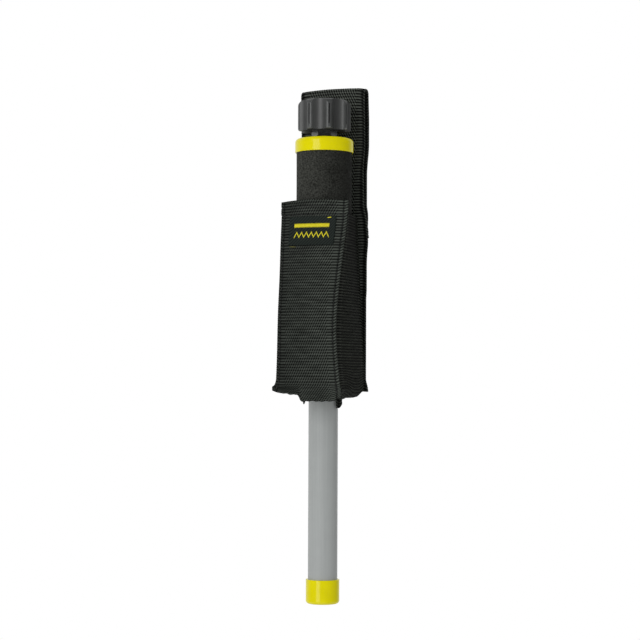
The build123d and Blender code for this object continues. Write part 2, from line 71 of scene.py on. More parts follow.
def seat(points):
    """Millimetres from the probe's tip, as metres in the frame."""
    return np.asarray(points, float) * MM + origin


def height(z):
    """A height in the frame, as millimetres above the probe's tip."""
    return (z - origin[2]) / MM


print("probe axis at y =", round(origin[1], 4), "m, tip at z =", round(origin[2], 4), "m")

# %% [markdown]
# Operators act on whatever is selected, and the loaded frame arrives selected. So each piece starts
# by clearing the selection. A few small functions start a piece, pick it again, apply a modifier to it
# and close its mesh, and the last one hands it to the frame.

# %% Starting and finishing pieces


def begin(name, primitive, **settings):
    """Adds a primitive with nothing else selected, and names it."""
    bpy.ops.object.select_all(action="DESELECT")
    primitive(**settings)
    piece = bpy.context.object
    piece.name = piece.data.name = name
    return piece


def only(piece):
    """Selects this piece alone and makes it active."""
    bpy.ops.object.select_all(action="DESELECT")
    piece.select_set(True)
    bpy.context.view_layer.objects.active = piece


def apply_modifier(piece, kind, **settings):
    """Adds a modifier with these settings and applies it to the mesh."""
    only(piece)
    modifier = piece.modifiers.new(kind.lower(), kind)
    for key, value in settings.items():
        setattr(modifier, key, value)
    bpy.ops.object.modifier_apply(modifier=modifier.name)


def round_rims(piece, width_mm, segments):
    """Rounds the sharp edges of a piece by a bevel."""
    apply_modifier(piece, "BEVEL", width=width_mm * MM, segments=segments, limit_method="ANGLE",
                   angle_limit=math.radians(60))


def close_mesh(piece, angle=60):
    """Merges seams, fills open ends, turns faces outwards and shades the piece smooth."""
    only(piece)
    bpy.ops.object.mode_set(mode="EDIT")
    bpy.ops.mesh.select_all(action="SELECT")
    bpy.ops.mesh.remove_doubles(threshold=1e-6)
    bpy.ops.mesh.fill_holes(sides=0)
    bpy.ops.mesh.select_face_by_sides(number=4, type="GREATER", extend=False)
    bpy.ops.mesh.quads_convert_to_tris(quad_method="BEAUTY", ngon_method="BEAUTY")
    bpy.ops.mesh.select_all(action="SELECT")
    bpy.ops.mesh.normals_make_consistent(inside=False)
    bpy.ops.object.mode_set(mode="OBJECT")
    bpy.ops.object.shade_smooth_by_angle(angle=math.radians(angle))


def dress(piece, material, slot, body, *nodes):
    """Gives a piece its finish, sets it on its body and lets it stand for CAD nodes."""
    piece.data.materials.clear()
    piece.data.materials.append(material)
    if body:
        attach(piece, body)
    if nodes:
        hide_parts(*nodes)
    print(piece.name, "has", len(piece.data.polygons), "faces")


# %% [markdown]
# ## Camera
# The photograph was taken from the right of the holster's front, with the lens a little below the
# middle of the object, so the yellow ring and the hem arch upwards. The camera stands level with the
# foot of the pouch and is tipped up slightly, which frames the object without any lens shift.

# %% Camera
image_size = 640
pixel_mm = 0.7256
view_azimuth = math.radians(20)
view_distance = 1350
lens_height = 162.7
middle_height = 204.8
axis_pixel = 323.6
view_roll = math.radians(0.23)

towards = Vector((math.sin(view_azimuth), -math.cos(view_azimuth), 0))
rightwards = Vector((math.cos(view_azimuth), math.sin(view_azimuth), 0))
aside = -(axis_pixel - image_size / 2) * pixel_mm * MM
stand = Vector(seat((0, 0, lens_height))) + towards * view_distance * MM + rightwards * aside
target = Vector(seat((0, 0, middle_height))) + rightwards * aside

bpy.ops.object.camera_add(location=stand)
camera = bpy.context.object
camera.rotation_mode = "QUATERNION"
camera.rotation_quaternion = (target - stand).to_track_quat("-Z", "Y")
camera.rotation_quaternion @= Matrix.Rotation(view_roll, 3, "Z").to_quaternion()
camera.data.angle = 2 * math.atan(image_size * pixel_mm / 2 / view_distance)
camera.data.clip_start, camera.data.clip_end = 0.05, 50
bpy.context.scene.camera = camera
print("field of view:", round(math.degrees(camera.data.angle), 2), "degrees")

# %% [markdown]
# ## Materials
# Every finish starts from the shop name of the real material. Colours are written as sRGB codes, as
# a paint chart gives them, and one function turns them into the linear values that shaders use. One
# more function adds a node, sets it up and wires it, so that a finish reads as a list of steps. Most
# finishes end alike: one pattern raises the surface a little and tints it between two colours.

# %% Colour codes and nodes


def colour(code):
    """An sRGB code such as 8b8d8c as linear red, green, blue and full alpha."""
    parts = [int(code[k : k + 2], 16) / 255 for k in (0, 2, 4)]
    linear = [c / 12.92 if c <= 0.04045 else ((c + 0.055) / 1.055) ** 2.4 for c in parts]
    return (*linear, 1.0)


def add(tree, kind, settings=None, links=None, feed=None):
    """Adds a node, sets it up, links outputs to its inputs and feeds its first output onwards.

    A link comes from a socket, or from a node, which then gives its first output.
    """
    node = tree.nodes.new("ShaderNode" + kind)
    for key, value in (settings or {}).items():
        if key == "stops":
            for stop, (position, code) in zip(node.color_ramp.elements, value):
                stop.position, stop.color = position, colour(code)
        elif isinstance(key, int) or key in node.inputs:
            node.inputs[key].default_value = value
        else:
            setattr(node, key, value)
    for key, source in (links or {}).items():
        socket = source.outputs[0] if isinstance(source, bpy.types.Node) else source
        tree.links.new(socket, node.inputs[key])
    if feed is not None:
        tree.links.new(node.outputs[0], feed)
    return node


def start(name, **values):
    """A new material with these values on its shader's own sockets."""
    material = bpy.data.materials.new(name)
    material.use_nodes = True
    shader = material.node_tree.nodes["Principled BSDF"]
    for key, value in values.items():
        shader.inputs[key.replace("_", " ")].default_value = value
    return material, material.node_tree, shader


def raise_and_tint(tree, shader, pattern, low, high, strength, depth_mm, tint=None):
    """Raises the surface by a pattern and tints it by the same one, or by another."""
    add(tree, "Bump", {"Strength": strength, "Distance": depth_mm * MM}, {"Height": pattern},
        shader.inputs["Normal"])
    return add(tree, "ValToRGB", {"stops": (low, high)}, {"Fac": pattern if tint is None else tint},
               shader.inputs["Base Color"])


def per_mm(size_mm):
    """The scale that makes one wave of a pattern this many millimetres long."""
    return 1 / (size_mm * MM)


print("helpers for finishes are ready")

# %% [markdown]
# Holster webbing is woven from black polypropylene yarn. Thick weft threads make ribs across the
# strap, about two millimetres apart. In the middle the warp yarns lie over them on a slant, and along
# both borders the ribs run plain. The mesh carries the same relief, but it is too coarse for single
# yarns, so the finish draws them from the strap's own UV map, which is laid out in metres: U across
# the strap and V along it.

# %% Black webbing
strap_half = 25.4
rib_pitch, yarn_pitch, yarn_lean = 2.07, 1.85, 0.55
border_from, border_to = 8.5, 6.5
fibre_size = 0.5
streak_width, streak_length, streak_share = 2.2, 14.0, 0.3
rib_weight, yarn_weight, fuzz_weight = 0.36, 0.26, 0.3
side_seam = 3.0


def black_webbing(name, crest, valley, ramp, left, right, rim, rim_inset, rim_width):
    """Matt black polypropylene webbing: painted shade in the valleys and lighter crests, with painted shade
    across the strap and along its rims.
    """
    material, tree, shader = start(name, Roughness=0.8, Specular_IOR_Level=0.06)
    uv = add(tree, "TexCoord").outputs["UV"]
    strap = add(tree, "SeparateXYZ", {}, {"Vector": uv})
    across, along = strap.outputs["X"], strap.outputs["Y"]
    turn = 2 * math.pi / MM
    rib = add(tree, "Math", {"operation": "MULTIPLY", 1: turn / rib_pitch}, {0: along})
    swing = add(tree, "Math", {"operation": "COSINE"}, {0: rib})
    over = add(tree, "Math", {"operation": "MULTIPLY_ADD", 1: -0.5, 2: 0.5}, {0: swing})
    yarn = add(tree, "Math", {"operation": "MULTIPLY", 1: turn / yarn_pitch}, {0: across})
    slant = add(tree, "Math", {"operation": "MULTIPLY_ADD", 1: yarn_lean}, {0: rib, 2: yarn})
    crests = add(tree, "Math", {"operation": "COSINE"}, {0: slant})
    offset = add(tree, "Math", {"operation": "SUBTRACT", 1: strap_half * MM}, {0: across})
    off_middle = add(tree, "Math", {"operation": "ABSOLUTE"}, {0: offset})
    field = add(tree, "MapRange",
                {"interpolation_type": "SMOOTHSTEP", "From Min": (strap_half - border_from) * MM,
                 "From Max": (strap_half - border_to) * MM, "To Min": yarn_weight, "To Max": 0.0},
                {"Value": off_middle})
    yarns = add(tree, "Math", {"operation": "MULTIPLY"}, {0: crests, 1: field})
    cloth = add(tree, "Math", {"operation": "MULTIPLY_ADD", 1: rib_weight}, {0: over, 2: yarns})
    fibre = add(tree, "TexNoise", {"Scale": per_mm(fibre_size), "Detail": 3.0}, {"Vector": uv})
    fuzz = add(tree, "Math", {"operation": "MULTIPLY_ADD", 1: fuzz_weight}, {0: fibre, 2: cloth})
    # Painted shade and highlight: the ramp paints the valleys between ribs near black and the crests lighter.
    ramp_colour = raise_and_tint(tree, shader, fuzz, (ramp[0], valley), (ramp[1], crest),
                         strength=0.9, depth_mm=0.4)
    # Painted light and shade: the colour is scaled from the left value at one border to the right value at
    # the other.
    painted_cross_shade = add(tree, "MapRange", {"From Max": 2 * strap_half * MM, "To Min": left, "To Max": right},
               {"Value": across})
    # Painted shade: darker along a line near each border, in the seam groove or cord, or over the whole
    # border.
    offset = add(tree, "Math", {"operation": "SUBTRACT", 1: (strap_half - rim_inset) * MM}, {0: off_middle})
    off_rim = add(tree, "Math", {"operation": "ABSOLUTE"}, {0: offset})
    painted_rim_shade = add(tree, "MapRange",
               {"interpolation_type": "SMOOTHSTEP", "From Max": rim_width * MM, "To Min": rim, "To Max": 1.0},
               {"Value": off_rim})
    drawn = add(tree, "Mapping", {"Scale": (streak_width / streak_length, 1.0, 1.0)}, {"Vector": uv})
    streak = add(tree, "TexNoise", {"Scale": per_mm(streak_width), "Detail": 1.0}, {"Vector": drawn})
    uneven = add(tree, "MapRange",
                 {"From Min": 0.3, "From Max": 0.7, "To Min": 1 - streak_share, "To Max": 1 + streak_share},
                 {"Value": streak})
    tone = add(tree, "Math", {"operation": "MULTIPLY"}, {0: painted_cross_shade, 1: painted_rim_shade})
    tone = add(tree, "Math", {"operation": "MULTIPLY"}, {0: tone, 1: uneven})
    add(tree, "VectorMath", {"operation": "SCALE"}, {"Vector": ramp_colour, "Scale": tone},
        shader.inputs["Base Color"])
    return material


# The three webbings are lit and shaded copies of one cloth: the side strip's darker colours are painted
# shade, and the back strap's lighter ones are painted light.
panel_webbing = black_webbing("black_polypropylene_panel_webbing", "454944", "020302", ramp=(0.13, 0.53),
                              left=0.56, right=1.1, rim=0.25, rim_inset=side_seam, rim_width=1.1)
webbing = black_webbing("black_polypropylene_webbing", "5a5e58", "010101", ramp=(0.18, 0.6),
                        left=0.76, right=0.96, rim=0.15, rim_inset=2.0, rim_width=2.4)
shaded_side_webbing = black_webbing("black_polypropylene_side_webbing", "3c3f38", "010101", ramp=(0.24, 0.62),
                             left=1.0, right=1.0, rim=0.95, rim_inset=0.0, rim_width=17.0)
print("made", [m.name for m in (webbing, panel_webbing, shaded_side_webbing)])

# %% [markdown]
# Many surfaces differ only in colour, gloss and the size of one speckle, which both raises and tints
# them. One function makes these. It reads Object coordinates, because every piece sits at the frame's
# origin, and it can stretch the speckle into lines.

# %% Thread, rubber, vinyl and plating


def speckled(name, dark, light, speckle_mm, detail, raised, spread=(0.3, 0.7), stretch=None, **values):
    """A surface with one speckle of this size, raised by a strength and a depth in millimetres."""
    material, tree, shader = start(name, **values)
    place = add(tree, "TexCoord").outputs["Object"]
    if stretch:
        place = add(tree, "Mapping", {"Scale": stretch}, {"Vector": place})
    speckle = add(tree, "TexNoise", {"Scale": per_mm(speckle_mm), "Detail": detail}, {"Vector": place})
    raise_and_tint(tree, shader, speckle, (spread[0], dark), (spread[1], light), *raised)
    return material


def sewing_thread(name, dark, light):
    """Twisted polyester sewing thread, a little glossier than the cloth it holds."""
    return speckled(name, dark, light, speckle_mm=0.4, detail=2, raised=(0.6, 0.1),
                    Roughness=0.5, Specular_IOR_Level=0.35)


def plated_steel(name, dark, light):
    """Zinc-plated steel: bright or blackened, with faint turning marks around the axis."""
    return speckled(name, dark, light, speckle_mm=0.7, detail=3, raised=(0.3, 0.05),
                    stretch=(0.05, 0.05, 1.0), Metallic=1.0, Roughness=0.24)


black_thread = sewing_thread("black_sewing_thread", "0a0b0a", "1c1e1c")
yellow_thread = sewing_thread("yellow_sewing_thread", "b9ae10", "e6da1c")
olive_thread = sewing_thread("olive_sewing_thread", "3a3a12", "5c5a1c")
steel = plated_steel("zinc_plated_steel", "9ea0a0", "c0c2c2")
black_zinc = plated_steel("black_zinc_plated_steel", "5a5c5a", "6c6e6c")
# Moulded rubber is smooth, with the grey bloom that rubber gets.
rubber = speckled("black_moulded_rubber", "161616", "2a2a29", speckle_mm=6, detail=5, raised=(0.4, 0.1),
                  Roughness=0.55, Specular_IOR_Level=0.35)
# Dip-moulded vinyl has an even colour, a soft gloss and a slightly wavy skin.
vinyl = speckled("yellow_dipped_vinyl", "d0c600", "d7cd00", speckle_mm=7, detail=2, raised=(0.35, 0.25),
                 spread=(0.25, 0.75), Roughness=0.15, Specular_IOR_Level=0.24)
print("made", [m.name for m in (black_thread, yellow_thread, olive_thread, steel, black_zinc, rubber, vinyl)])

# %% [markdown]
# The patch is woven in satin from fine navy yarn, so it takes a diagonal wave on its UV map. The foam
# is matt and full of tiny closed cells, and painted light makes its left side lighter and its right side
# darker. The grey pipe is extruded and shows fine lines along its length.

# %% Patch, foam and pipe
# A wave texture swings 20 times in 2 pi units, and half as often in each direction of a diagonal.
wave_turn = 2 * math.pi / 20
painted_light_half = 20


def patch_satin():
    """Satin-woven polyester patch: fine diagonal lines and a faint shine."""
    material, tree, shader = start("navy_satin_patch", Roughness=0.6, Specular_IOR_Level=0.1)
    uv = add(tree, "TexCoord").outputs["UV"]
    # The real twill line is about 0.3 mm; it is drawn at 1.7 mm so that it shows.
    twill_scale = per_mm(1.7) * wave_turn * math.sqrt(2)
    twill = add(tree, "TexWave", {"bands_direction": "DIAGONAL", "Scale": twill_scale, "Distortion": 0.4},
                {"Vector": uv})
    raise_and_tint(tree, shader, twill.outputs["Fac"], (0.1, "0e1311"), (0.9, "232a26"),
                   strength=0.7, depth_mm=0.12)
    return material


def closed_cell_foam(name, dark, light):
    """Skinless black foam: cut cells give a fine mottle and no shine; painted light makes the left side
    lighter.
    """
    material, tree, shader = start(name, Roughness=0.8, Specular_IOR_Level=0.05)
    place = add(tree, "TexCoord").outputs["Object"]
    # The real cells are about 0.4 mm; they are drawn at 0.9 mm so that they show.
    cells = add(tree, "TexNoise", {"Scale": per_mm(0.9), "Detail": 2.0}, {"Vector": place})
    patches = add(tree, "TexNoise", {"Scale": per_mm(9), "Detail": 2.0}, {"Vector": place})
    mottle = add(tree, "Math", {"operation": "MULTIPLY_ADD", 1: 0.2}, {0: patches, 2: cells})
    ramp_colour = raise_and_tint(tree, shader, cells, (0.42, dark), (0.78, light), strength=0.7, depth_mm=0.5,
                         tint=mottle)
    # Painted light: the colour is scaled from lighter on the left to darker on the right.
    spot = add(tree, "SeparateXYZ", {}, {"Vector": place})
    painted_side_light = add(tree, "MapRange",
               {"From Min": -painted_light_half * MM, "From Max": painted_light_half * MM, "To Min": 1.4, "To Max": 0.55},
               {"Value": spot.outputs["X"]})
    add(tree, "VectorMath", {"operation": "SCALE"}, {"Vector": ramp_colour, "Scale": painted_side_light},
        shader.inputs["Base Color"])
    return material


def extruded_pipe(name, dark, light):
    """Grey extruded plastic pipe: satin, with fine lines drawn along it by the die."""
    material, tree, shader = start(name, Roughness=0.42, Specular_IOR_Level=0.2)
    place = add(tree, "TexCoord").outputs["Object"]
    along = add(tree, "Mapping", {"Scale": (1.0, 1.0, 0.02)}, {"Vector": place})
    lines = add(tree, "TexNoise", {"Scale": per_mm(1.2), "Detail": 3.0}, {"Vector": along})
    haze = add(tree, "TexNoise", {"Scale": per_mm(14), "Detail": 4.0}, {"Vector": place})
    both = add(tree, "Math", {"operation": "MULTIPLY_ADD", 1: 0.6}, {0: haze, 2: lines})
    raise_and_tint(tree, shader, lines, (0.5, dark), (0.95, light), strength=0.4, depth_mm=0.06,
                   tint=both)
    return material


satin = patch_satin()
foam = closed_cell_foam("black_closed_cell_foam", "191a17", "3d3e3a")
grey_pipe = extruded_pipe("grey_extruded_pipe", "949796", "9a9d9c")
print("made", [m.name for m in (satin, foam, grey_pipe)])

# %% [markdown]
# The knob is moulded in a spark-eroded tool, which leaves a fine even grain. Its hollows and the slit of
# each land carry painted shade: its colour is darkened the nearer it lies to the bottom of the hollows,
# and at the angle of each slit. The black nylon of the plates is machined and has a grain much like
# it.

# %% Nylon
knob_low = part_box("knob")[0]
hollow_radius, land_radius, hollow_share = 15.5, 19.3, 0.5
slit_count, slit_angle, slit_foot, slit_half, slit_fade = 8, 30, 3.7, 7.3, 0.5
# The real slit is 0.6 mm wide; its painted shade is drawn over 1 mm so that it shows.
slit_shade_outer, slit_shade_inner, slit_shade_share = 0.7, 0.4, 0.12


def grained_nylon(name, dark, light, rough, shine):
    """Nylon with a fine even grain over a soft sheen, as a spark-eroded mould or a cutter leaves it."""
    material, tree, shader = start(name, Roughness=rough, Specular_IOR_Level=shine)
    place = add(tree, "TexCoord").outputs["Object"]
    grain = add(tree, "TexNoise", {"Scale": per_mm(0.9), "Detail": 2.0}, {"Vector": place})
    wear = add(tree, "TexNoise", {"Scale": per_mm(11), "Detail": 4.0}, {"Vector": place})
    raise_and_tint(tree, shader, grain, (0.3, dark), (0.7, light), strength=0.4, depth_mm=0.12,
                   tint=wear)
    return material


def paint_knob_shade(material):
    """Paints shade into the knob's hollows and into its slits."""
    tree = material.node_tree
    base = tree.nodes["Principled BSDF"].inputs["Base Color"]
    ramp_colour = base.links[0].from_socket
    place = add(tree, "TexCoord").outputs["Object"]
    slit_middle = seat((0, 0, height(knob_low.z) + slit_foot + slit_half))
    offset = add(tree, "VectorMath", {"operation": "SUBTRACT", 1: slit_middle}, {0: place})
    flat = add(tree, "VectorMath", {"operation": "MULTIPLY", 1: (1.0, 1.0, 0.0)}, {0: offset})
    reach = add(tree, "VectorMath", {"operation": "LENGTH"}, {0: flat}).outputs["Value"]
    # Painted shade: darker near the bottom of the hollows.
    rise = add(tree, "Math", {"operation": "SUBTRACT", 1: hollow_radius * MM}, {0: reach})
    rise = add(tree, "Math", {"operation": "ABSOLUTE"}, {0: rise})
    painted_hollow_shade = add(tree, "MapRange",
                  {"From Max": (land_radius - hollow_radius) * MM, "To Min": hollow_share, "To Max": 1.0},
                  {"Value": rise})
    parts = add(tree, "SeparateXYZ", {}, {"Vector": offset}).outputs
    # Painted shade: darker at the angle of each slit, over the slits' height.
    turn = add(tree, "Math", {"operation": "ARCTAN2"}, {0: parts["Y"], 1: parts["X"]})
    lands = add(tree, "Math", {"operation": "MULTIPLY_ADD", 1: slit_count,
                               2: -slit_count * math.radians(slit_angle)}, {0: turn})
    crest = add(tree, "Math", {"operation": "COSINE"}, {0: lands})
    far, near = (math.cos(slit_count * half / land_radius) for half in (slit_shade_outer, slit_shade_inner))
    slit = add(tree, "MapRange", {"From Min": far, "From Max": near, "To Min": 1.0, "To Max": slit_shade_share},
               {"Value": crest})
    level = add(tree, "Math", {"operation": "ABSOLUTE"}, {0: parts["Z"]})
    ends = add(tree, "MapRange", {"From Min": (slit_half - slit_fade) * MM, "From Max": slit_half * MM},
               {"Value": level})
    painted_slit_shade = add(tree, "Math", {"operation": "MAXIMUM"}, {0: slit, 1: ends})
    tone = add(tree, "Math", {"operation": "MULTIPLY"}, {0: painted_hollow_shade, 1: painted_slit_shade})
    add(tree, "VectorMath", {"operation": "SCALE"}, {"Vector": ramp_colour, "Scale": tone}, base)
    return material


knob_nylon = paint_knob_shade(grained_nylon("charcoal_moulded_nylon", "323433", "3c3e3d", rough=0.52, shine=1.0))
black_nylon = grained_nylon("black_machined_nylon", "151515", "232322", rough=0.45, shine=0.2)
print("made", [m.name for m in (knob_nylon, black_nylon)])

# %% [markdown]
# The working pieces inside the sealed probe are seldom seen, but they keep their finishes wherever
# the part is opened up. The circuit board and the coil have a pattern of their own. The others are
# speckled, and a table gives each one's colours, speckle, roughness and metal, and its CAD nodes.

# %% Finishes inside the probe


def solder_mask():
    """Green solder mask over copper tracks, which show as paler lines."""
    material, tree, shader = start("green_solder_mask", Roughness=0.32)
    place = add(tree, "TexCoord").outputs["Object"]
    tracks = add(tree, "TexVoronoi", {"feature": "F1", "distance": "MANHATTAN", "Scale": per_mm(4)},
                 {"Vector": place})
    raise_and_tint(tree, shader, tracks, (0.4, "0c3d1c"), (0.6, "1c6332"), strength=0.3, depth_mm=0.05)
    return material


def enamelled_winding():
    """Fine enamelled copper wire wound side by side, drawn here 0.8 mm apart."""
    material, tree, shader = start("enamelled_copper_winding", Metallic=0.8, Roughness=0.3)
    place = add(tree, "TexCoord").outputs["Object"]
    turns = add(tree, "TexWave", {"bands_direction": "Z", "Scale": per_mm(0.8) * wave_turn},
                {"Vector": place})
    raise_and_tint(tree, shader, turns.outputs["Fac"], (0.2, "6e3413"), (0.8, "b8632c"),
                   strength=0.8, depth_mm=0.2)
    return material


inner_finishes = (
    # Cast resin sets with a glossy black skin.
    ("black_cast_resin", "161618", "232326", 5, 0.2, 0, ("tip_plug",)),
    # Ferrite is pressed and fired, so it is dull and grainy.
    ("sintered_ferrite", "252527", "39393b", 1.5, 0.7, 0, ("coil_core",)),
    # Moulded plastic has a soft, even sheen.
    ("white_moulded_plastic", "cfcfca", "dededa", 6, 0.45, 0,
     ("coil_bobbin", "lower_bulkhead", "upper_bulkhead", "motor_clip")),
    # Wire insulation is extruded smooth, with a narrow highlight along the wire.
    ("white_wire_insulation", "cdcdcd", "e2e2e0", 3, 0.35, 0, ("coil_leads", "motor_leads")),
    ("red_wire_insulation", "8c1512", "ad2019", 3, 0.35, 0, ("battery_lead_plus",)),
    ("black_wire_insulation", "141414", "222222", 3, 0.35, 0, ("battery_lead_minus",)),
    # Chip resin is filled with glass powder, so it is matt and finely speckled.
    ("black_chip_resin", "1a1a1a", "2a2a2a", 0.8, 0.6, 0, ("board_chips",)),
    # Shrunk sleeves and wraps are glossy film; the battery's film has a metallic tone.
    ("blue_shrink_sleeve", "1c2447", "2a3460", 4, 0.3, 0, ("board_capacitors",)),
    ("plain_battery_wrap", "2c2c30", "3d3d42", 8, 0.3, 0.3, ("battery",)),
    # Drawn steel is bright, and the sintered weight is a duller, yellowish metal.
    ("drawn_steel_can", "9c9d9d", "bcbdbd", 2, 0.3, 1, ("vibration_motor", "motor_shaft")),
    ("sintered_weight_alloy", "8a7336", "a98d48", 1.2, 0.45, 1, ("eccentric_weight",)),
)
node_finishes = [(solder_mask(), ("circuit_board",)), (enamelled_winding(), ("coil_winding",))]
for name, dark, light, speckle_mm, rough, metal, nodes in inner_finishes:
    finish = speckled(name, dark, light, speckle_mm, detail=3, raised=(0.3, 0.05), Roughness=rough,
                      Metallic=metal)
    node_finishes.append((finish, nodes))
print("made", len(node_finishes), "inner finishes")

# %% [markdown]
# Now each CAD node that stays in view takes its finish. The nodes keep their meshes and places; only
# the material slots change.

# %% Dress the CAD nodes
node_finishes += [
    (vinyl, ("tip_cap", "end_cap")),
    (grey_pipe, ("probe_tube", "reducer", "handle_tube")),
    (knob_nylon, ("knob",)),
    (black_zinc, ("knob_nut",)),
    (steel, ("thrust_washer", "plug_stud", "stud_nut", "battery_terminals")),
    (black_nylon, ("pressure_plate", "lower_plate", "battery_snap")),
    (rubber, ("stud_oring",)),
]
for finish, names in node_finishes:
    for node in [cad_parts[name] for name in names]:
        if not node.material_slots:
            node.data.materials.append(finish)
        for place in node.material_slots:
            place.material = finish
print("dressed", sum(len(names) for finish, names in node_finishes), "CAD nodes")

# %% [markdown]
# ## A webbing strap
# A strap is a thick ribbon with rounded selvedges. It could be a thin grid with a Solidify modifier,
# but the ribs are sharper than the strap is thick, and offsetting them would fold the back over
# itself. So the strap is a grid rolled into a flat tube: one way runs along the strap, the other
# round its section, across the face and back across the underside. Each point starts on the middle
# surface and is pushed out along its normal by half the thickness, less the relief of the weave.

# %% Strap builder
strap_width, strap_thickness = 2 * strap_half, 1.8
selvedge_steps = (0.0, 0.1, 0.35, 0.8)
small_step = 0.01


def spots_at(x, y, z):
    """One array of points from three arrays of places."""
    return np.stack(np.broadcast_arrays(x, y, z), axis=-1)


def section_places(width, face_columns, back_columns):
    """Places across a strap, from -1 to 1 over its face and back over its underside."""
    rim = np.array(selvedge_steps) * 2 / width
    sides = []
    for columns in (face_columns, back_columns):
        inner = np.linspace(-1 + rim[-1], 1 - rim[-1], columns)
        sides.append(np.concatenate([-1 + rim[:-1], inner, 1 - rim[:-1][::-1]]))
    across = np.concatenate([sides[0], sides[1][-2:0:-1], sides[0][:1]])
    facing = np.ones(len(across))
    facing[len(sides[0]) : -1] = -1
    return across, facing


def strap_frame(surface, run, place, flip):
    """Place, outward normal, and the directions across and along a strap at these points."""
    over = surface(run, place + small_step) - surface(run, place - small_step)
    down = surface(run + small_step, place) - surface(run - small_step, place)
    ways = (np.cross(over, down) * flip, over, down)
    return surface(run, place), *(way / np.linalg.norm(way, axis=-1, keepdims=True) for way in ways)


def strap_points(surface, relief, along, across, facing, width, thickness, flip):
    """The strap's skin: the middle surface pushed out by its thickness and its relief."""
    run, place = along[:, None], across[None, :]
    middle, normal, outward, down = strap_frame(surface, run, place, flip)
    inset = np.clip(1 - (1 - np.abs(across)) * width / 2 / selvedge_steps[-1], 0, 1)
    rounding = np.sqrt(1 - inset**2)
    bumps = relief(run, place * np.ones_like(run), facing[None, :] * np.ones_like(run))
    lift = facing * (thickness / 2 * rounding) + facing * bumps * rounding
    push = np.sign(across) * inset * bumps
    return middle + normal * lift[..., None] + outward * push[..., None]


def make_strap(name, surface, relief, length, width, rows, columns, thickness=strap_thickness, flip=1,
               lay=np.copy):
    """A closed strap with a UV map in metres, U across it and V along it."""
    along = np.linspace(0, length, rows + 1)
    across, facing = section_places(width, *columns)
    points = strap_points(surface, relief, along, across, facing, width, thickness, flip)
    piece = begin(name, bpy.ops.mesh.primitive_grid_add, x_subdivisions=len(across) - 1,
                  y_subdivisions=rows, size=1)
    mesh = piece.data
    assert len(mesh.vertices) == points.shape[0] * points.shape[1], len(mesh.vertices)
    mesh.vertices.foreach_set("co", seat(points).ravel())
    corner = np.zeros(len(mesh.loops), int)
    mesh.loops.foreach_get("vertex_index", corner)
    row, column = np.divmod(corner, len(across))
    curl = rib_curl((1 - np.abs(across[column])) * width / 2) * rib_pitch
    flat = np.stack([(across[column] + 1) * width / 2, lay(along)[row] + curl], axis=1) * MM
    mesh.uv_layers.active.data.foreach_set("uv", flat.ravel())
    mesh.update()
    close_mesh(piece)
    return piece


print("strap builder is ready")

# %% [markdown]
# The weave is a relief: full at the crest of a rib, sunk in the valley between two ribs. In the middle
# of the strap the slanted yarns dent the ribs, along the borders they don't. At the very edge the weft
# turns round, so the ribs curl back and end in a thin twisted cord.

# %% Weave relief
rib_depth, yarn_depth = 0.38, 0.22
curl_width, curl_turns = 3.2, 0.55
cord_from, cord_to, cord_twist, cord_slant, cord_depth = 2.0, 1.5, 1.45, 1.2, 0.1
cord_groove, cord_groove_width, seam_width = 0.35, 0.35, 0.9


def step(value, start_at, end_at):
    """Rises smoothly from 0 at the first value to 1 at the second."""
    share = np.clip((value - start_at) / (end_at - start_at), 0, 1)
    return share * share * (3 - 2 * share)


def hump(value, middle, reach):
    """A bell that is 1 at its middle and nearly gone at twice its reach."""
    return np.exp(-(((value - middle) / reach) ** 2))


def groove(distance, depth, width):
    """A soft groove, such as a seam pulls into cloth, at this distance from its line."""
    return -depth * hump(distance, 0, width)


def rib_curl(edge_mm):
    """How far the ribs run on, in ribs, where they curl back near the edge."""
    return curl_turns * np.clip(1 - edge_mm / curl_width, 0, 1) ** 2


def weave(along, side_mm):
    """Relief of the webbing at a distance along it and from its middle, in millimetres."""
    edge = strap_half - np.abs(side_mm)
    rib = along / rib_pitch + rib_curl(edge)
    sunk = rib_depth * np.abs(2 * (rib % 1) - 1) ** 2
    slant = np.cos(2 * np.pi * (side_mm / yarn_pitch + yarn_lean * rib))
    sunk = sunk + yarn_depth * (0.5 - 0.5 * slant) * step(edge, border_to, border_from)
    twist = np.cos(2 * np.pi * (along / cord_twist + edge / cord_slant))
    cord = step(edge, cord_from, cord_to)
    sunk = sunk * (1 - cord) + cord * cord_depth * (1 - twist)
    return groove(edge - cord_from, cord_groove, cord_groove_width) - sunk


def seam_pull(side_mm, depth):
    """The groove that the seams along both edges of a strap pull into it."""
    return groove(np.abs(side_mm) - (strap_half - side_seam), depth, seam_width)


print("rib pitch", rib_pitch, "mm, yarn pitch", yarn_pitch, "mm")

# %% [markdown]
# ## Front panel
# The front of the holster is one length of webbing that lies on the foam grip at its top and bulges
# away from it lower down. It could be simulated, but it is sewn tight at both sides, so its shape
# hardly moves: a few levels, measured from the foot and joined by a smooth curve, describe it. About
# eleven millimetres are folded in at its top as a hem, its lower corners stick out like ears, and its
# foot hangs lower on the right, where it is folded under.

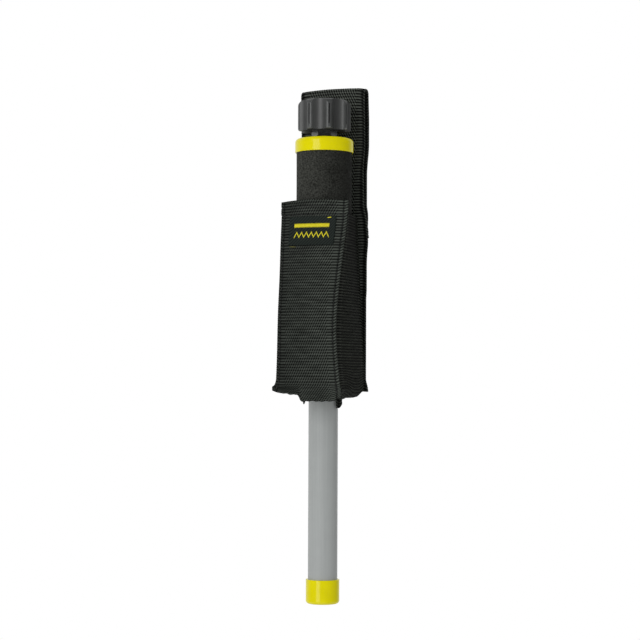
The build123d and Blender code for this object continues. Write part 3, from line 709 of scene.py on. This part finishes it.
# %% Front panel surface
panel_top, level_length, foot_drop = 290.2, 136.0, 8.0
panel_length = level_length + foot_drop
foam_radius, foam_room = 20.285, 1.0
panel_levels = np.array([0.0, 0.24, 0.48, 0.73, 1.0])
panel_swell = np.polyfit(panel_levels, [11.4, 13.4, 13.4, 6.5, 0.0], 4)
panel_bow = np.polyfit(panel_levels, [1.5, 2.0, 4.0, 3.6, 2.9], 4)
panel_narrow = np.polyfit(panel_levels, [0.7, 2.9, 3.0, 1.4, 0.0], 4)
fold_line, fold_ease, fold_draw = 132.84, 2, 1.5
left_ear, right_ear, ear_from, ear_to, ear_places = 2.6, 0.4, 16.0, 4.5, (0.7, 1.0)
left_shift, shift_middle, shift_reach = 0.6, 95, 28
arch_rise, arch_bow, arch_reach = 0.5, 1.5, 12
ripple_height, ripple_long, ripple_cross, ripple_zone = 0.3, (11, 23), (1.7, 2.3), (4, 25)


def panel_front(share, place):
    """How far forward the front webbing lies, at a share of its height and a place across it."""
    depth = foam_radius + foam_room + strap_thickness / 2 + np.polyval(panel_swell, share)
    return -depth + np.polyval(panel_bow, share) * place**2


def panel_surface(run, place):
    """Middle of the front webbing, at a distance below its top and a place across it."""
    share = np.clip(1 - run / level_length, 0, 1)
    arch = (arch_rise - arch_bow * place**2) * np.exp(-np.abs(run) / arch_reach)
    ear = right_ear * step(place, *ear_places) - left_ear * step(-place, *ear_places)
    ear = ear * step(run, panel_length - ear_from, panel_length - ear_to)
    shift = left_shift * hump(run, shift_middle, shift_reach)
    x = place * (strap_half - np.polyval(panel_narrow, share)) + ear - shift
    ripple = ripple_height * np.sin(run / ripple_long[0] + ripple_cross[0] * place)
    ripple = ripple * np.cos(run / ripple_long[1] - ripple_cross[1] * place)
    y = panel_front(share, place) + ripple * step(run, *ripple_zone)
    return spots_at(x, y, panel_top - run + arch + panel_foot(run, place))


print("front panel hangs", panel_length, "mm")

# %% [markdown]
# The foot of the panel isn't cut straight. From the left it starts high, dips and slopes, drops at the
# pipe to where the cloth is folded under, and lifts again at the right corner. Below the fold line the
# ribs crowd together, and the cut edge is frayed.

# %% Front panel foot, hem and weave
left_start, left_dip, left_slope, right_lift = 0.5, 2.2, 0.8, 2.6
dip_zone, slope_zone, drop_zone, lift_zone = (-25, -20), (-18, -9), (-7.8, -4.3), (18, 25)
fray_depth, fray_waves, fray_reach = 0.4, (9, 23), 6
hem_depth, hem_fold, hem_seams = 10.6, 0.3, (4.6, 10.4)
hem_zone, seam_zone = (hem_depth - 0.6, hem_depth + 0.4), (hem_depth, hem_depth + 4)
front_pull, hem_pull, hem_pull_width = 0.35, 0.35, 0.5


def panel_foot(run, place):
    """How far the panel's foot is drawn up, less its fray."""
    side = place * strap_half
    over = foot_drop - left_start
    drawn = over - left_dip * step(side, *dip_zone) - left_slope * step(side, *slope_zone)
    drawn = drawn - (over - left_dip - left_slope) * step(side, *drop_zone)
    drawn = drawn + right_lift * step(side, *lift_zone)
    fray = fray_depth * np.sin(fray_waves[0] * place) * np.sin(fray_waves[1] * place + 1)
    fray = fray * step(run, panel_length - fray_reach, panel_length)
    return drawn * step(run, fold_line - fold_ease, panel_length) - fray


def panel_lay(run):
    """Distance along the weave: below the fold line the cloth turns under and its ribs crowd."""
    return np.minimum(run, fold_line) + fold_draw * np.clip(run - fold_line, 0, None)


def panel_relief(run, place, facing):
    """Weave of the front webbing, with its folded hem and the pull of its seams."""
    side = place * strap_half
    hem = hem_fold * (1 - step(run, *hem_zone))
    seam = seam_pull(side, front_pull) * step(run, *seam_zone)
    hem_rows = sum(groove(run - row, hem_pull, hem_pull_width) for row in hem_seams)
    return weave(panel_lay(run), side) + hem + seam + hem_rows


front_panel = make_strap("front_panel_webbing", panel_surface, panel_relief, panel_length,
                         strap_width, rows=418, columns=(110, 30), flip=-1, lay=panel_lay)
dress(front_panel, panel_webbing, "black_webbing", "holster", "front_panel")

# %% [markdown]
# ## Side strip
# A second length of webbing makes both sides and the foot: it runs down the left side, across under
# the grip like a trough, and up the right side. A path in the plane of the front gives its distance
# along. It is softened by a running mean, so that the strip bends at the foot instead of breaking.

# %% Side strip path
side_top, trough_z, foot_half = 280.5, 147.9, 23.5
left_rise, right_rise, left_power, right_power = 6.1, 2.4, 2.2, 3
path_step, trough_count, soften_count = 0.06, 801, 61

trough_x = np.linspace(-foot_half, foot_half, trough_count)
reach = np.abs(trough_x) / foot_half
sag = np.where(trough_x < 0, left_rise * reach**left_power, right_rise * reach**right_power)
sides = []
for side, rise in ((-1, left_rise), (1, right_rise)):
    climb = np.arange(trough_z + rise, side_top, path_step)[1:]
    sides.append(np.stack([np.full_like(climb, side * foot_half), climb], axis=1))
strip_path = np.concatenate([sides[0][::-1], np.stack([trough_x, trough_z + sag], axis=1), sides[1]])
overhang = ((soften_count // 2, soften_count // 2), (0, 0))
padded_path = np.pad(strip_path, overhang, mode="reflect", reflect_type="odd")
soften = np.ones(soften_count) / soften_count
strip_path = np.stack([np.convolve(padded_path[:, k], soften, "valid") for k in (0, 1)], axis=1)


def run_along(path):
    """Distance along a path at each of its points."""
    return np.concatenate([[0], np.cumsum(np.linalg.norm(np.diff(path, axis=0), axis=1))])


strip_run = run_along(strip_path)
strip_length = strip_run[-1]
print("strip length:", round(strip_length, 1), "mm")

# %% [markdown]
# Across the strip, its front edge follows the bulge of the front panel, and each level adds how far
# the side leans in at its front, its middle and its back. At the foot the edges are drawn up, and
# beside the pipe the floor climbs round the shoulder of the handle.

# %% Side strip surface
side_foot, back_edge, front_tuck, foot_tuck = 156.1, 21.735, 1.1, 1.5
side_levels = np.array([side_foot, 185.14, 217.78, 251.78, 288.5]) - side_foot
side_leans = [np.polyfit(side_levels, leans, 4) for leans in (
    [23.0, 20.6, 20.5, 22.1, 23.5], [23.5, 22.785, 22.385, 21.985, 21.785], [23.5, 22.5, 20.5, 18.5, 17.0])]
corner_round, corner_reach = 8.0, 25
front_rise, back_rise, floor_rise, right_share = 3.8, 3.4, 2.0, 0.85
foot_zone, back_places, front_places = (150, 176), (0.48, 1), (-0.1, 0.5)
edge_zone, left_zone = (8, 22), (2.5, 12)
shoulder_zone, floor_from, floor_to = (14.5, 17.5), (2, 10), (11, 20)
strip_pull = 0.3


def front_edge(z):
    """How far forward the side strip reaches at a height, just behind the front panel."""
    share = np.clip((z - panel_top) / level_length + 1, 0, 1)
    x = np.polyval(side_leans[0], np.clip(z - side_foot, 0, None))
    return panel_front(share, x / (strap_half - np.polyval(panel_narrow, share))) + front_tuck


def strip_surface(run, place):
    """Middle of the side strip, at a distance along it and a place from front to back."""
    near_end = step(np.abs(run - strip_length / 2), strip_length / 2 - corner_reach, strip_length / 2)
    from_rim = np.clip((1 - np.abs(place)) * strap_half, 0, corner_round)
    drop = corner_round - np.sqrt(np.clip(corner_round**2 - (corner_round - from_rim) ** 2, 0, None))
    at = run + np.sign(strip_length / 2 - run) * drop * near_end
    x = np.interp(at, strip_run, strip_path[:, 0])
    z = np.interp(at, strip_run, strip_path[:, 1])
    z = np.where(at > strip_length, side_top + at - strip_length, np.where(at < 0, side_top - at, z))
    foot = 1 - step(z, *foot_zone)
    z = z + foot * back_rise * step(place, *back_places) * step(np.abs(x), *edge_zone)
    drawn = step(-x, *left_zone) + right_share * step(x, *edge_zone)
    z = z + foot * front_rise * step(-place, *front_places) * drawn
    first = front_edge(z) + foot_tuck * foot
    y = first + (back_edge - first) * (place + 1) / 2
    beside = step(np.hypot(x, y), *shoulder_zone) * step(x, *floor_from) * (1 - step(x, *floor_to))
    z = z + foot * floor_rise * beside
    a, b, c = (np.polyval(fit, np.clip(z - side_foot, 0, None)) for fit in side_leans)
    lean = (a * y * (y - back_edge) / (first * (first - back_edge))
            + b * (y - first) * (y - back_edge) / (first * back_edge)
            + c * y * (y - first) / (back_edge * (back_edge - first)))
    return spots_at(np.where(z > side_foot, np.sign(x) * lean, x), y, z)


def strip_relief(run, place, facing):
    """Weave of the side strip, pulled in along the seams at its two edges."""
    return weave(run, place * strap_half) + seam_pull(place * strap_half, strip_pull)


side_strip = make_strap("side_strip_webbing", strip_surface, strip_relief, strip_length,
                        strap_width, rows=738, columns=(72, 24))

# %% [markdown]
# The probe's pipe comes out through a round hole burnt in the foot. A cylinder cuts it. A small tab of
# the cut webbing is left hanging beside the pipe, with the uneven end that a hot knife leaves, and one
# loose yarn hangs from the front panel.

# %% Hole and cut tab
hole_radius, hole_depth = 13.05, 30
tab_thickness, tab_taper, tab_slant, tab_weave = 1.6, 0.2, 0.36, 0.6
tab_wave, tab_fray, slant_places = 0.15, 0.25, (-0.3, 0.8)

cutter = begin("hole_cutter", bpy.ops.mesh.primitive_cylinder_add, vertices=96, radius=hole_radius * MM,
               depth=hole_depth * MM, location=seat((0, 0, trough_z)))
apply_modifier(side_strip, "BOOLEAN", operation="DIFFERENCE", object=cutter, solver="EXACT")
bpy.data.objects.remove(cutter)
dress(side_strip, shaded_side_webbing, "black_webbing", "holster", "gusset_strap")


def hang_tab(name, middle, turn, width, top, foot):
    """A short strip of cut webbing that hangs at a place, turned about the upright."""
    reach_x, reach_y = math.cos(math.radians(turn)) / 2, math.sin(math.radians(turn)) / 2

    def surface(run, place):
        """Middle of the tab, narrowing towards its uneven end."""
        low = step(run, (top - foot) / 2, top - foot)
        reach = place * width * (1 - tab_taper * low)
        x = middle[0] + reach * reach_x + tab_wave * np.sin(3 * place + run)
        slant = tab_slant * width * step(place, *slant_places) - tab_fray * np.sin(5 * place + 1)
        return spots_at(x, middle[1] + reach * reach_y, top - run + slant * low)

    def relief(run, place, facing):
        """Weave that runs down the tab."""
        return tab_weave * weave(run, place * width / 2)

    tab = make_strap(name, surface, relief, top - foot, width, rows=24, columns=(10, 8),
                     thickness=tab_thickness)
    dress(tab, webbing, "black_webbing", "holster")


hang_tab("foot_tab", middle=(13.0, -2.6), turn=50, width=5.6, top=trough_z + 0.4, foot=141.0)
hang_tab("foot_fray", middle=(-2.6, -32.6), turn=10, width=1.9, top=147.6, foot=144.2)

# %% [markdown]
# ## Back strap and belt loop
# The third length of webbing is the back of the holster. It climbs behind the grip, folds over above
# the knob, comes down again behind itself and is sewn to its own back, which leaves the loop for a
# belt. A line of corners with a bend radius at each gives the path, as a bent strip is drawn on paper.

# %% Back strap path
loop_corners = np.array([(22.785, 153.4), (22.785, 337.95), (20.985, 374.6), (29.585, 374.6),
                         (29.585, 284.7), (24.735, 276.7), (24.735, 265.7)])
loop_bends = (60, 4, 4, 6, 6)
bend_points = 25


def bent_path(corners, bends):
    """A dense line through corners, each rounded by a curve as wide as an arc of its radius."""
    points = [corners[0]]
    for before, corner, after, radius in zip(corners, corners[1:], corners[2:], bends):
        come, leave = corner - before, after - corner
        come, leave = come / np.linalg.norm(come), leave / np.linalg.norm(leave)
        turn = math.acos(np.clip(come @ leave, -1, 1))
        inset = radius * math.tan(turn / 2)
        for share in np.linspace(0, 1, bend_points):
            first = corner - come * inset * (1 - share)
            second = corner + leave * inset * share
            points.append(first * (1 - share) + second * share)
    points.append(corners[-1])
    return np.array(points)


loop_path = bent_path(loop_corners, loop_bends)
loop_run = run_along(loop_path)
loop_length = loop_run[-1]
print("back strap length:", round(loop_length, 1), "mm")

# %% [markdown]
# A real strap isn't quite straight. This one is crowned at the top of its loop, its right edge curls
# back beside the knob, it leans to the left above the pouch, and the sewn tail pushes its edge out.

# %% Back strap surface
crown, corner_lift, lift_places, crown_zone = 1.5, 0.45, (0.1, 0.8), (345, 372)
back_ear, ear_depth = 1.4, 9.0
rim_places, curl_in, curl_back, curl_zone, curl_end = (0.72, 1.0), 1.4, 1.8, (290, 330), (205, 222)
strap_lean, lean_more, lean_zone, more_zone = 0.8, 1.5, (276, 291), (312, 336)
right_places, tail_bulge, bulge_z, bulge_reach = (0.2, 1.0), 0.95, 263, 9
low_tuck, tuck_from, tuck_to = 0.35, (156, 162), (220, 228)
fold_in, fold_down, fold_zone = 0.5, 0.1, (350, 374)
corner_drop, drop_places, drop_reach = 0.7, (0.6, 1.0), 6
back_pull, pull_end, tail_pull, tail_pull_width = 0.3, (126, 134), 0.25, 0.6
tail_seams, back_flat_m = (2.5, 8), 0.345


def back_surface(run, place):
    """Middle of the back strap, at a distance along it and a place across it."""
    at = np.clip(run, 0, loop_length)
    y = np.interp(at, loop_run, loop_path[:, 0])
    z = np.interp(at, loop_run, loop_path[:, 1])
    z = z + np.where(run < 0, run, 0) - np.where(run > loop_length, run - loop_length, 0)
    z = z + (crown * (1 - place**2) + corner_lift * step(place, *lift_places)) * step(z, *crown_zone)
    ear = back_ear * step(np.abs(place), *ear_places) * (1 - step(run, 0, ear_depth))
    curl = step(place, *rim_places) ** 2 * step(z, *curl_zone) * (1 - step(run, *curl_end))
    lean = step(z, *lean_zone) * (strap_lean + lean_more * (1 - step(z, *more_zone)))
    right = step(place, *right_places)
    lean = lean - tail_bulge * hump(z, bulge_z, bulge_reach) * right
    lean = lean + low_tuck * right * step(z, *tuck_from) * (1 - step(z, *tuck_to))
    fold = step(place, *rim_places) * step(z, *fold_zone)
    x = place * strap_half + np.sign(place) * ear - curl_in * curl - lean - fold_in * fold
    z = z - fold_down * fold - corner_drop * step(place, *drop_places) * (1 - step(run, 0, drop_reach))
    return spots_at(x, y + curl_back * curl, z)


def back_relief(run, place, facing):
    """Weave of the back strap, with the seams that hold its sides and its tail."""
    side = place * strap_half
    sides = seam_pull(side, back_pull) * (1 - step(run, *pull_end))
    tail = sum(groove(run - loop_length + row, tail_pull, tail_pull_width) for row in tail_seams)
    return weave(run, side) + sides + tail


back_strap = make_strap("back_strap_webbing", back_surface, back_relief, loop_length,
                        strap_width, rows=833, columns=(60, 24))
dress(back_strap, webbing, "black_webbing", "holster", "back_strap")

# %% [markdown]
# ## Patch
# A woven patch is sewn to the front panel below the hem. It is a thin strap of its own, laid on the
# panel's outer face, so it takes the same bulge. Its rim is bound, which makes it a little thicker.

# %% Patch
patch_width, patch_first, patch_last = 35.4, 12.3, 33.0
patch_thickness, patch_sink = 0.7, 0.05
patch_lift = strap_thickness / 2 + patch_thickness / 2 - patch_sink
bound_height, bound_inset, bound_half = 0.16, 0.7, 0.6
bound_twist, twist_along, twist_across = 0.2, 5, 90


def patch_surface(run, place):
    """Middle of the patch, lifted off the front panel's middle."""
    on_panel = place * patch_width / 2 / strap_half
    spot, normal, over, down = strap_frame(panel_surface, run + patch_first, on_panel, -1)
    return spot + normal * patch_lift


def patch_relief(run, place, facing):
    """Bound rim of the patch: a low cord all the way round, twisted a little."""
    reach = patch_last - patch_first
    rim = np.minimum((1 - np.abs(place)) * patch_width / 2, np.minimum(run, reach - run))
    twist = 1 - bound_twist + bound_twist * np.cos(run * twist_along + place * twist_across)
    return np.where(facing > 0, bound_height * hump(rim, bound_inset, bound_half) * twist, 0)


patch = make_strap("holster_patch", patch_surface, patch_relief, patch_last - patch_first,
                   patch_width, rows=90, columns=(130, 20), thickness=patch_thickness, flip=-1)
dress(patch, satin, "label_cloth", "holster", "label_patch")

# %% [markdown]
# ## Stitches
# Sewn seams show as rows of short thread humps sunk in the cloth. One stitch is modelled, a small
# sphere drawn out to a grain of rice, and copied along each row, turned to lie on the strap.

# %% Sewing
stitch_length, stitch_width, stitch_height = 2.6, 0.7, 0.56

seed_stitch = begin("seed_stitch", bpy.ops.mesh.primitive_uv_sphere_add, segments=8, ring_count=6, radius=0.5)
bpy.ops.object.mode_set(mode="EDIT")
bpy.ops.mesh.select_all(action="SELECT")
bpy.ops.transform.resize(value=(stitch_width * MM, stitch_height * MM, stitch_length * MM))
bpy.ops.object.mode_set(mode="OBJECT")
bpy.ops.object.shade_smooth()


def sew(name, surface, flip, spots, lift, thread, slot):
    """Lays a stitch at each spot: distance along, place across, turn in degrees and length's share."""
    spots = np.array(spots, float)
    place, normal, over, down = strap_frame(surface, spots[:, 0], spots[:, 1], flip)
    copies = []
    for point, out, along, turn, share in zip(place, normal, down, spots[:, 2], spots[:, 3]):
        copy = seed_stitch.copy()
        copy.data = seed_stitch.data.copy()
        bpy.context.collection.objects.link(copy)
        side = Vector(np.cross(along, out))
        axes = Matrix((side, Vector(out), Vector(along))).transposed().to_4x4()
        lean = Matrix.Rotation(math.radians(turn), 4, "Y")
        size = Matrix.Diagonal((1, 1, share, 1))
        copy.matrix_world = Matrix.Translation(seat(point + out * lift)) @ axes @ lean @ size
        copies.append(copy)
    only(copies[0])
    for copy in copies:
        copy.select_set(True)
    bpy.ops.object.join()
    bpy.ops.object.transform_apply()
    piece = bpy.context.object
    piece.name = piece.data.name = name
    dress(piece, thread, slot, "holster")


print("one stitch has", len(seed_stitch.data.polygons), "faces")

# %% [markdown]
# The black rows hold the hem, the two sides of the front panel and the tail of the belt loop. Each
# stitch sinks a little into the groove that its row pulls into the cloth.

# %% Rows of black stitches
row_half, cross_pitch, long_pitch = 22.5, 3.2, 3.6
front_first, front_last = 12, 138
front_lift, tail_lift = strap_thickness / 2 - 0.25, strap_thickness / 2 - 0.2


def row_across(run):
    """Spots of a row of stitches across a strap, lying along the row."""
    sides = np.linspace(-row_half, row_half, int(2 * row_half / cross_pitch))
    return [(run, side / strap_half, 90, 1.0) for side in sides]


def row_along(side):
    """Spots of a row of stitches along the front panel, at a distance from its middle."""
    runs = np.linspace(front_first, front_last, int((front_last - front_first) / long_pitch))
    return [(run, side / strap_half, 0, 1.0) for run in runs]


front_rows = [spot for row in hem_seams for spot in row_across(row)]
front_rows += row_along(side_seam - strap_half) + row_along(strap_half - side_seam)
sew("front_stitches", panel_surface, -1, front_rows, front_lift, black_thread, "black_webbing")
tail_rows = [spot for row in tail_seams for spot in row_across(loop_length - row)]
sew("tail_stitches", back_surface, 1, tail_rows, tail_lift, black_thread, "black_webbing")

# %% [markdown]
# On the patch, a bar of satin stitch and a row of wide zigzag in yellow thread fill the middle, and two
# loose tacks show at opposite corners, where the patch was first pinned down.

# %% Patch sewing
trim_half = 13.2
bar_run, bar_pitch, bar_share = 6.6, 0.62, 1.25
zigzag_run, zigzag_pitch, zigzag_turn, zigzag_share = 13.4, 1.9, 27, 2.1
trim_lift, tack_lift, loose_lift = (patch_thickness / 2 + more for more in (0, 0.1, -0.1))
upper_tack, lower_tack = (1.0, 0.72, 80, 1.2), (21.9, -0.79, 97, 2.3)

patch_rows = []
for x in np.arange(-trim_half, trim_half, bar_pitch):
    patch_rows.append((bar_run, x / (patch_width / 2), 0, bar_share))
for k, x in enumerate(np.arange(-trim_half + 1, trim_half, zigzag_pitch)):
    patch_rows.append((zigzag_run, x / (patch_width / 2), zigzag_turn * (-1) ** k, zigzag_share))
sew("patch_zigzag", patch_surface, -1, patch_rows, trim_lift, yellow_thread, "label_cloth")
sew("patch_tack", patch_surface, -1, [upper_tack], tack_lift, yellow_thread, "label_cloth")
sew("loose_tack", patch_surface, -1, [lower_tack], loose_lift, olive_thread, "label_cloth")
bpy.data.objects.remove(seed_stitch)

# %% [markdown]
# ## Foam and rubber
# The grip is a foam tube, cut square and slightly soft at its rims. A ring of faces gets its wall
# from Solidify, and a few cuts along it let soft dents show where a hand has squeezed it.

# %% Foam grip
grip_low, grip_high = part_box("grip_sleeve")
grip_wall, grip_cuts, grip_rim, foam_fill = 2.0, 60, 0.6, 0.9
dents_round, dents_along, dent_depth, dent_bias, dent_most = 35, 22, 0.22, 0.1, 0.05
skin_zone = (foam_radius - 1.2, foam_radius - 0.2)


def ring_piece(name, radius, wall, foot, top, cuts, rim, vertices=128):
    """A tube about the probe's axis: a ring of faces, cut level, thickened and rim-rounded."""
    piece = begin(name, bpy.ops.mesh.primitive_cylinder_add, vertices=vertices, radius=radius * MM,
                  depth=(top - foot) * MM, end_fill_type="NOTHING", location=seat((0, 0, (foot + top) / 2)))
    bpy.ops.object.transform_apply()
    bpy.ops.object.mode_set(mode="EDIT")
    for level in np.linspace(foot, top, cuts + 2)[1:-1]:
        bpy.ops.mesh.select_all(action="SELECT")
        bpy.ops.mesh.bisect(plane_co=seat((0, 0, level)), plane_no=(0, 0, 1))
    bpy.ops.mesh.select_all(action="SELECT")
    bpy.ops.mesh.normals_make_consistent(inside=False)
    bpy.ops.object.mode_set(mode="OBJECT")
    apply_modifier(piece, "SOLIDIFY", thickness=wall * MM, offset=-1)
    round_rims(piece, rim, segments=3)
    close_mesh(piece, angle=50)
    return piece


grip = ring_piece("foam_grip", foam_radius, grip_wall, height(grip_low.z), height(grip_high.z),
                  grip_cuts, grip_rim)
for corner in grip.data.vertices:
    spot = corner.co - Vector(origin)
    flat = Vector((spot.x, spot.y, 0))
    place = Vector((spot.x * dents_round, spot.y * dents_round, spot.z * dents_along))
    dent = noise.noise(place) * dent_depth - dent_bias
    outer = step(np.array(flat.length / MM), *skin_zone)
    corner.co += flat.normalized() * float(min(dent, dent_most)) * MM * float(outer)
dress(grip, foam, "black_foam", "probe", "grip_sleeve")

# %% [markdown]
# Two smaller foam pieces hold the battery still: a disc above it and an oblong pad below it. Each is
# a block of foam with its rims rounded.

# %% Battery pads


def foam_block(name, node, primitive, rim, **settings):
    """A foam block with round rims in the space of a CAD node, from a primitive of unit size."""
    low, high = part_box(node)
    piece = begin(name, primitive, location=(low + high) / 2, **settings)
    piece.scale = high - low
    bpy.ops.object.transform_apply()
    round_rims(piece, rim, segments=4)
    close_mesh(piece, angle=45)
    dress(piece, foam, "black_foam", "probe", node)


foam_block("battery_disc", "battery_cushion", bpy.ops.mesh.primitive_cylinder_add, rim=1.2,
           vertices=64, radius=0.5, depth=1)
foam_block("battery_block", "battery_pad", bpy.ops.mesh.primitive_cube_add, rim=0.8, size=1)

# %% [markdown]
# The rubber bung is squeezed between two plates, so it bulges a little.

# %% Rubber bung
bung_low, bung_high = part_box("expansion_bung")
bung_foot, bung_top = height(bung_low.z), height(bung_high.z)
bung_radius = (bung_high.x - bung_low.x) / 2 / MM
bung_bore, bung_cuts, bung_rim, bung_bulge = 5.35, 12, 0.5, 0.12

bung = ring_piece("rubber_bung", bung_radius, bung_radius - bung_bore, bung_foot, bung_top,
                  bung_cuts, bung_rim, vertices=96)
for corner in bung.data.vertices:
    spot = corner.co - Vector(origin)
    flat = Vector((spot.x, spot.y, 0))
    if flat.length > (bung_radius - 1) * MM:
        level = abs(2 * (spot.z / MM - bung_foot) / (bung_top - bung_foot) - 1)
        corner.co -= flat.normalized() * bung_bulge * level**2 * MM
dress(bung, rubber, "black_rubber", None, "expansion_bung")
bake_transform(bung)

# %% [markdown]
# ## Studio
# The photograph has a pure white ground and no shadow, as when an object hangs well clear of a white
# sheet. The floor is a pale disc far below the probe, about where the ground is when the holster hangs
# on a belt. For the camera it also glows, so that it runs into the white of the world without more
# light on the object.

# %% Floor
floor_drop, floor_radius, paper_glow = 600, 4, 0.55
floor = begin("studio_floor", bpy.ops.mesh.primitive_circle_add, vertices=96, radius=floor_radius,
              fill_type="NGON", location=seat((0, 0, -floor_drop)))
bpy.ops.object.transform_apply()
paper, tree, shader = start("white_background_paper", Roughness=0.9, Specular_IOR_Level=0.1,
                            Base_Color=colour("e8e8e8"), Emission_Color=colour("ffffff"))
rays = add(tree, "LightPath").outputs
seen = add(tree, "Math", {"operation": "ADD"}, {0: rays["Is Camera Ray"], 1: rays["Is Glossy Ray"]})
seen = add(tree, "Math", {"operation": "ADD", "use_clamp": True}, {0: seen, 1: rays["Is Transmission Ray"]})
add(tree, "Math", {"operation": "MULTIPLY", 1: paper_glow}, {0: seen}, shader.inputs["Emission Strength"])
floor.data.materials.append(paper)
print("floor", floor_drop, "mm below the tip")

# %% [markdown]
# The light is soft and even, with more of it from the left front. A white world gives the even part.
# Mirrored in glossy plastic it would veil every colour, so reflections see a world that is dim towards
# the camera and white behind the object.

# %% World
ambient, dim_front, dim_from, dim_to, dim_aside = 0.7, 0.06, -0.8, 0.0, 0.2
dim_way = (towards + dim_aside * rightwards).normalized()
studio = bpy.data.worlds.new("white_studio")
studio.use_nodes = True
bpy.context.scene.world = studio
tree = studio.node_tree
rays = add(tree, "LightPath").outputs
way = add(tree, "TexCoord").outputs["Generated"]
facing = add(tree, "VectorMath", {"operation": "DOT_PRODUCT", 1: dim_way}, {0: way}).outputs["Value"]
mirrored = add(tree, "MapRange",
               {"interpolation_type": "SMOOTHSTEP", "From Min": dim_from, "From Max": dim_to,
                "To Min": 1 - ambient, "To Max": dim_front - ambient}, {"Value": facing})
seen = add(tree, "Math", {"operation": "ADD", "use_clamp": True},
           {0: rays["Is Camera Ray"], 1: rays["Is Transmission Ray"]})
seen = add(tree, "Math", {"operation": "MULTIPLY_ADD", 1: 1 - ambient, 2: ambient}, {0: seen})
ground = tree.nodes["Background"].inputs
ground["Color"].default_value = colour("ffffff")
add(tree, "Math", {"operation": "MULTIPLY_ADD"}, {0: rays["Is Glossy Ray"], 1: mirrored, 2: seen},
    ground["Strength"])
print("world strength", ambient, "on the object")

# %% [markdown]
# One tall lamp at the left front, a little above the object's middle, gives the brighter side and
# draws the streaks of light down the pipe and the yellow caps.

# %% Lamp
lamp_power, lamp_width, lamp_height = 12.5, 0.7, 1.6
lamp_left, lamp_front, lamp_up, lit_height = 0.8, 1.3, 0.25, 200
middle = Vector(seat((0, 0, lit_height)))
lamp_place = middle - rightwards * lamp_left + towards * lamp_front + Vector((0, 0, lamp_up))
bpy.ops.object.light_add(type="AREA", location=lamp_place)
lamp = bpy.context.object
lamp.data.shape, lamp.data.energy = "RECTANGLE", lamp_power
lamp.data.size, lamp.data.size_y = lamp_width, lamp_height
lamp.rotation_euler = (middle - lamp_place).to_track_quat("-Z", "Y").to_euler()
bpy.context.scene.view_settings.view_transform = "Standard"
print("lamp", round((lamp_place - middle).length, 2), "m away")

# %% Update the view layer
bpy.context.view_layer.update()
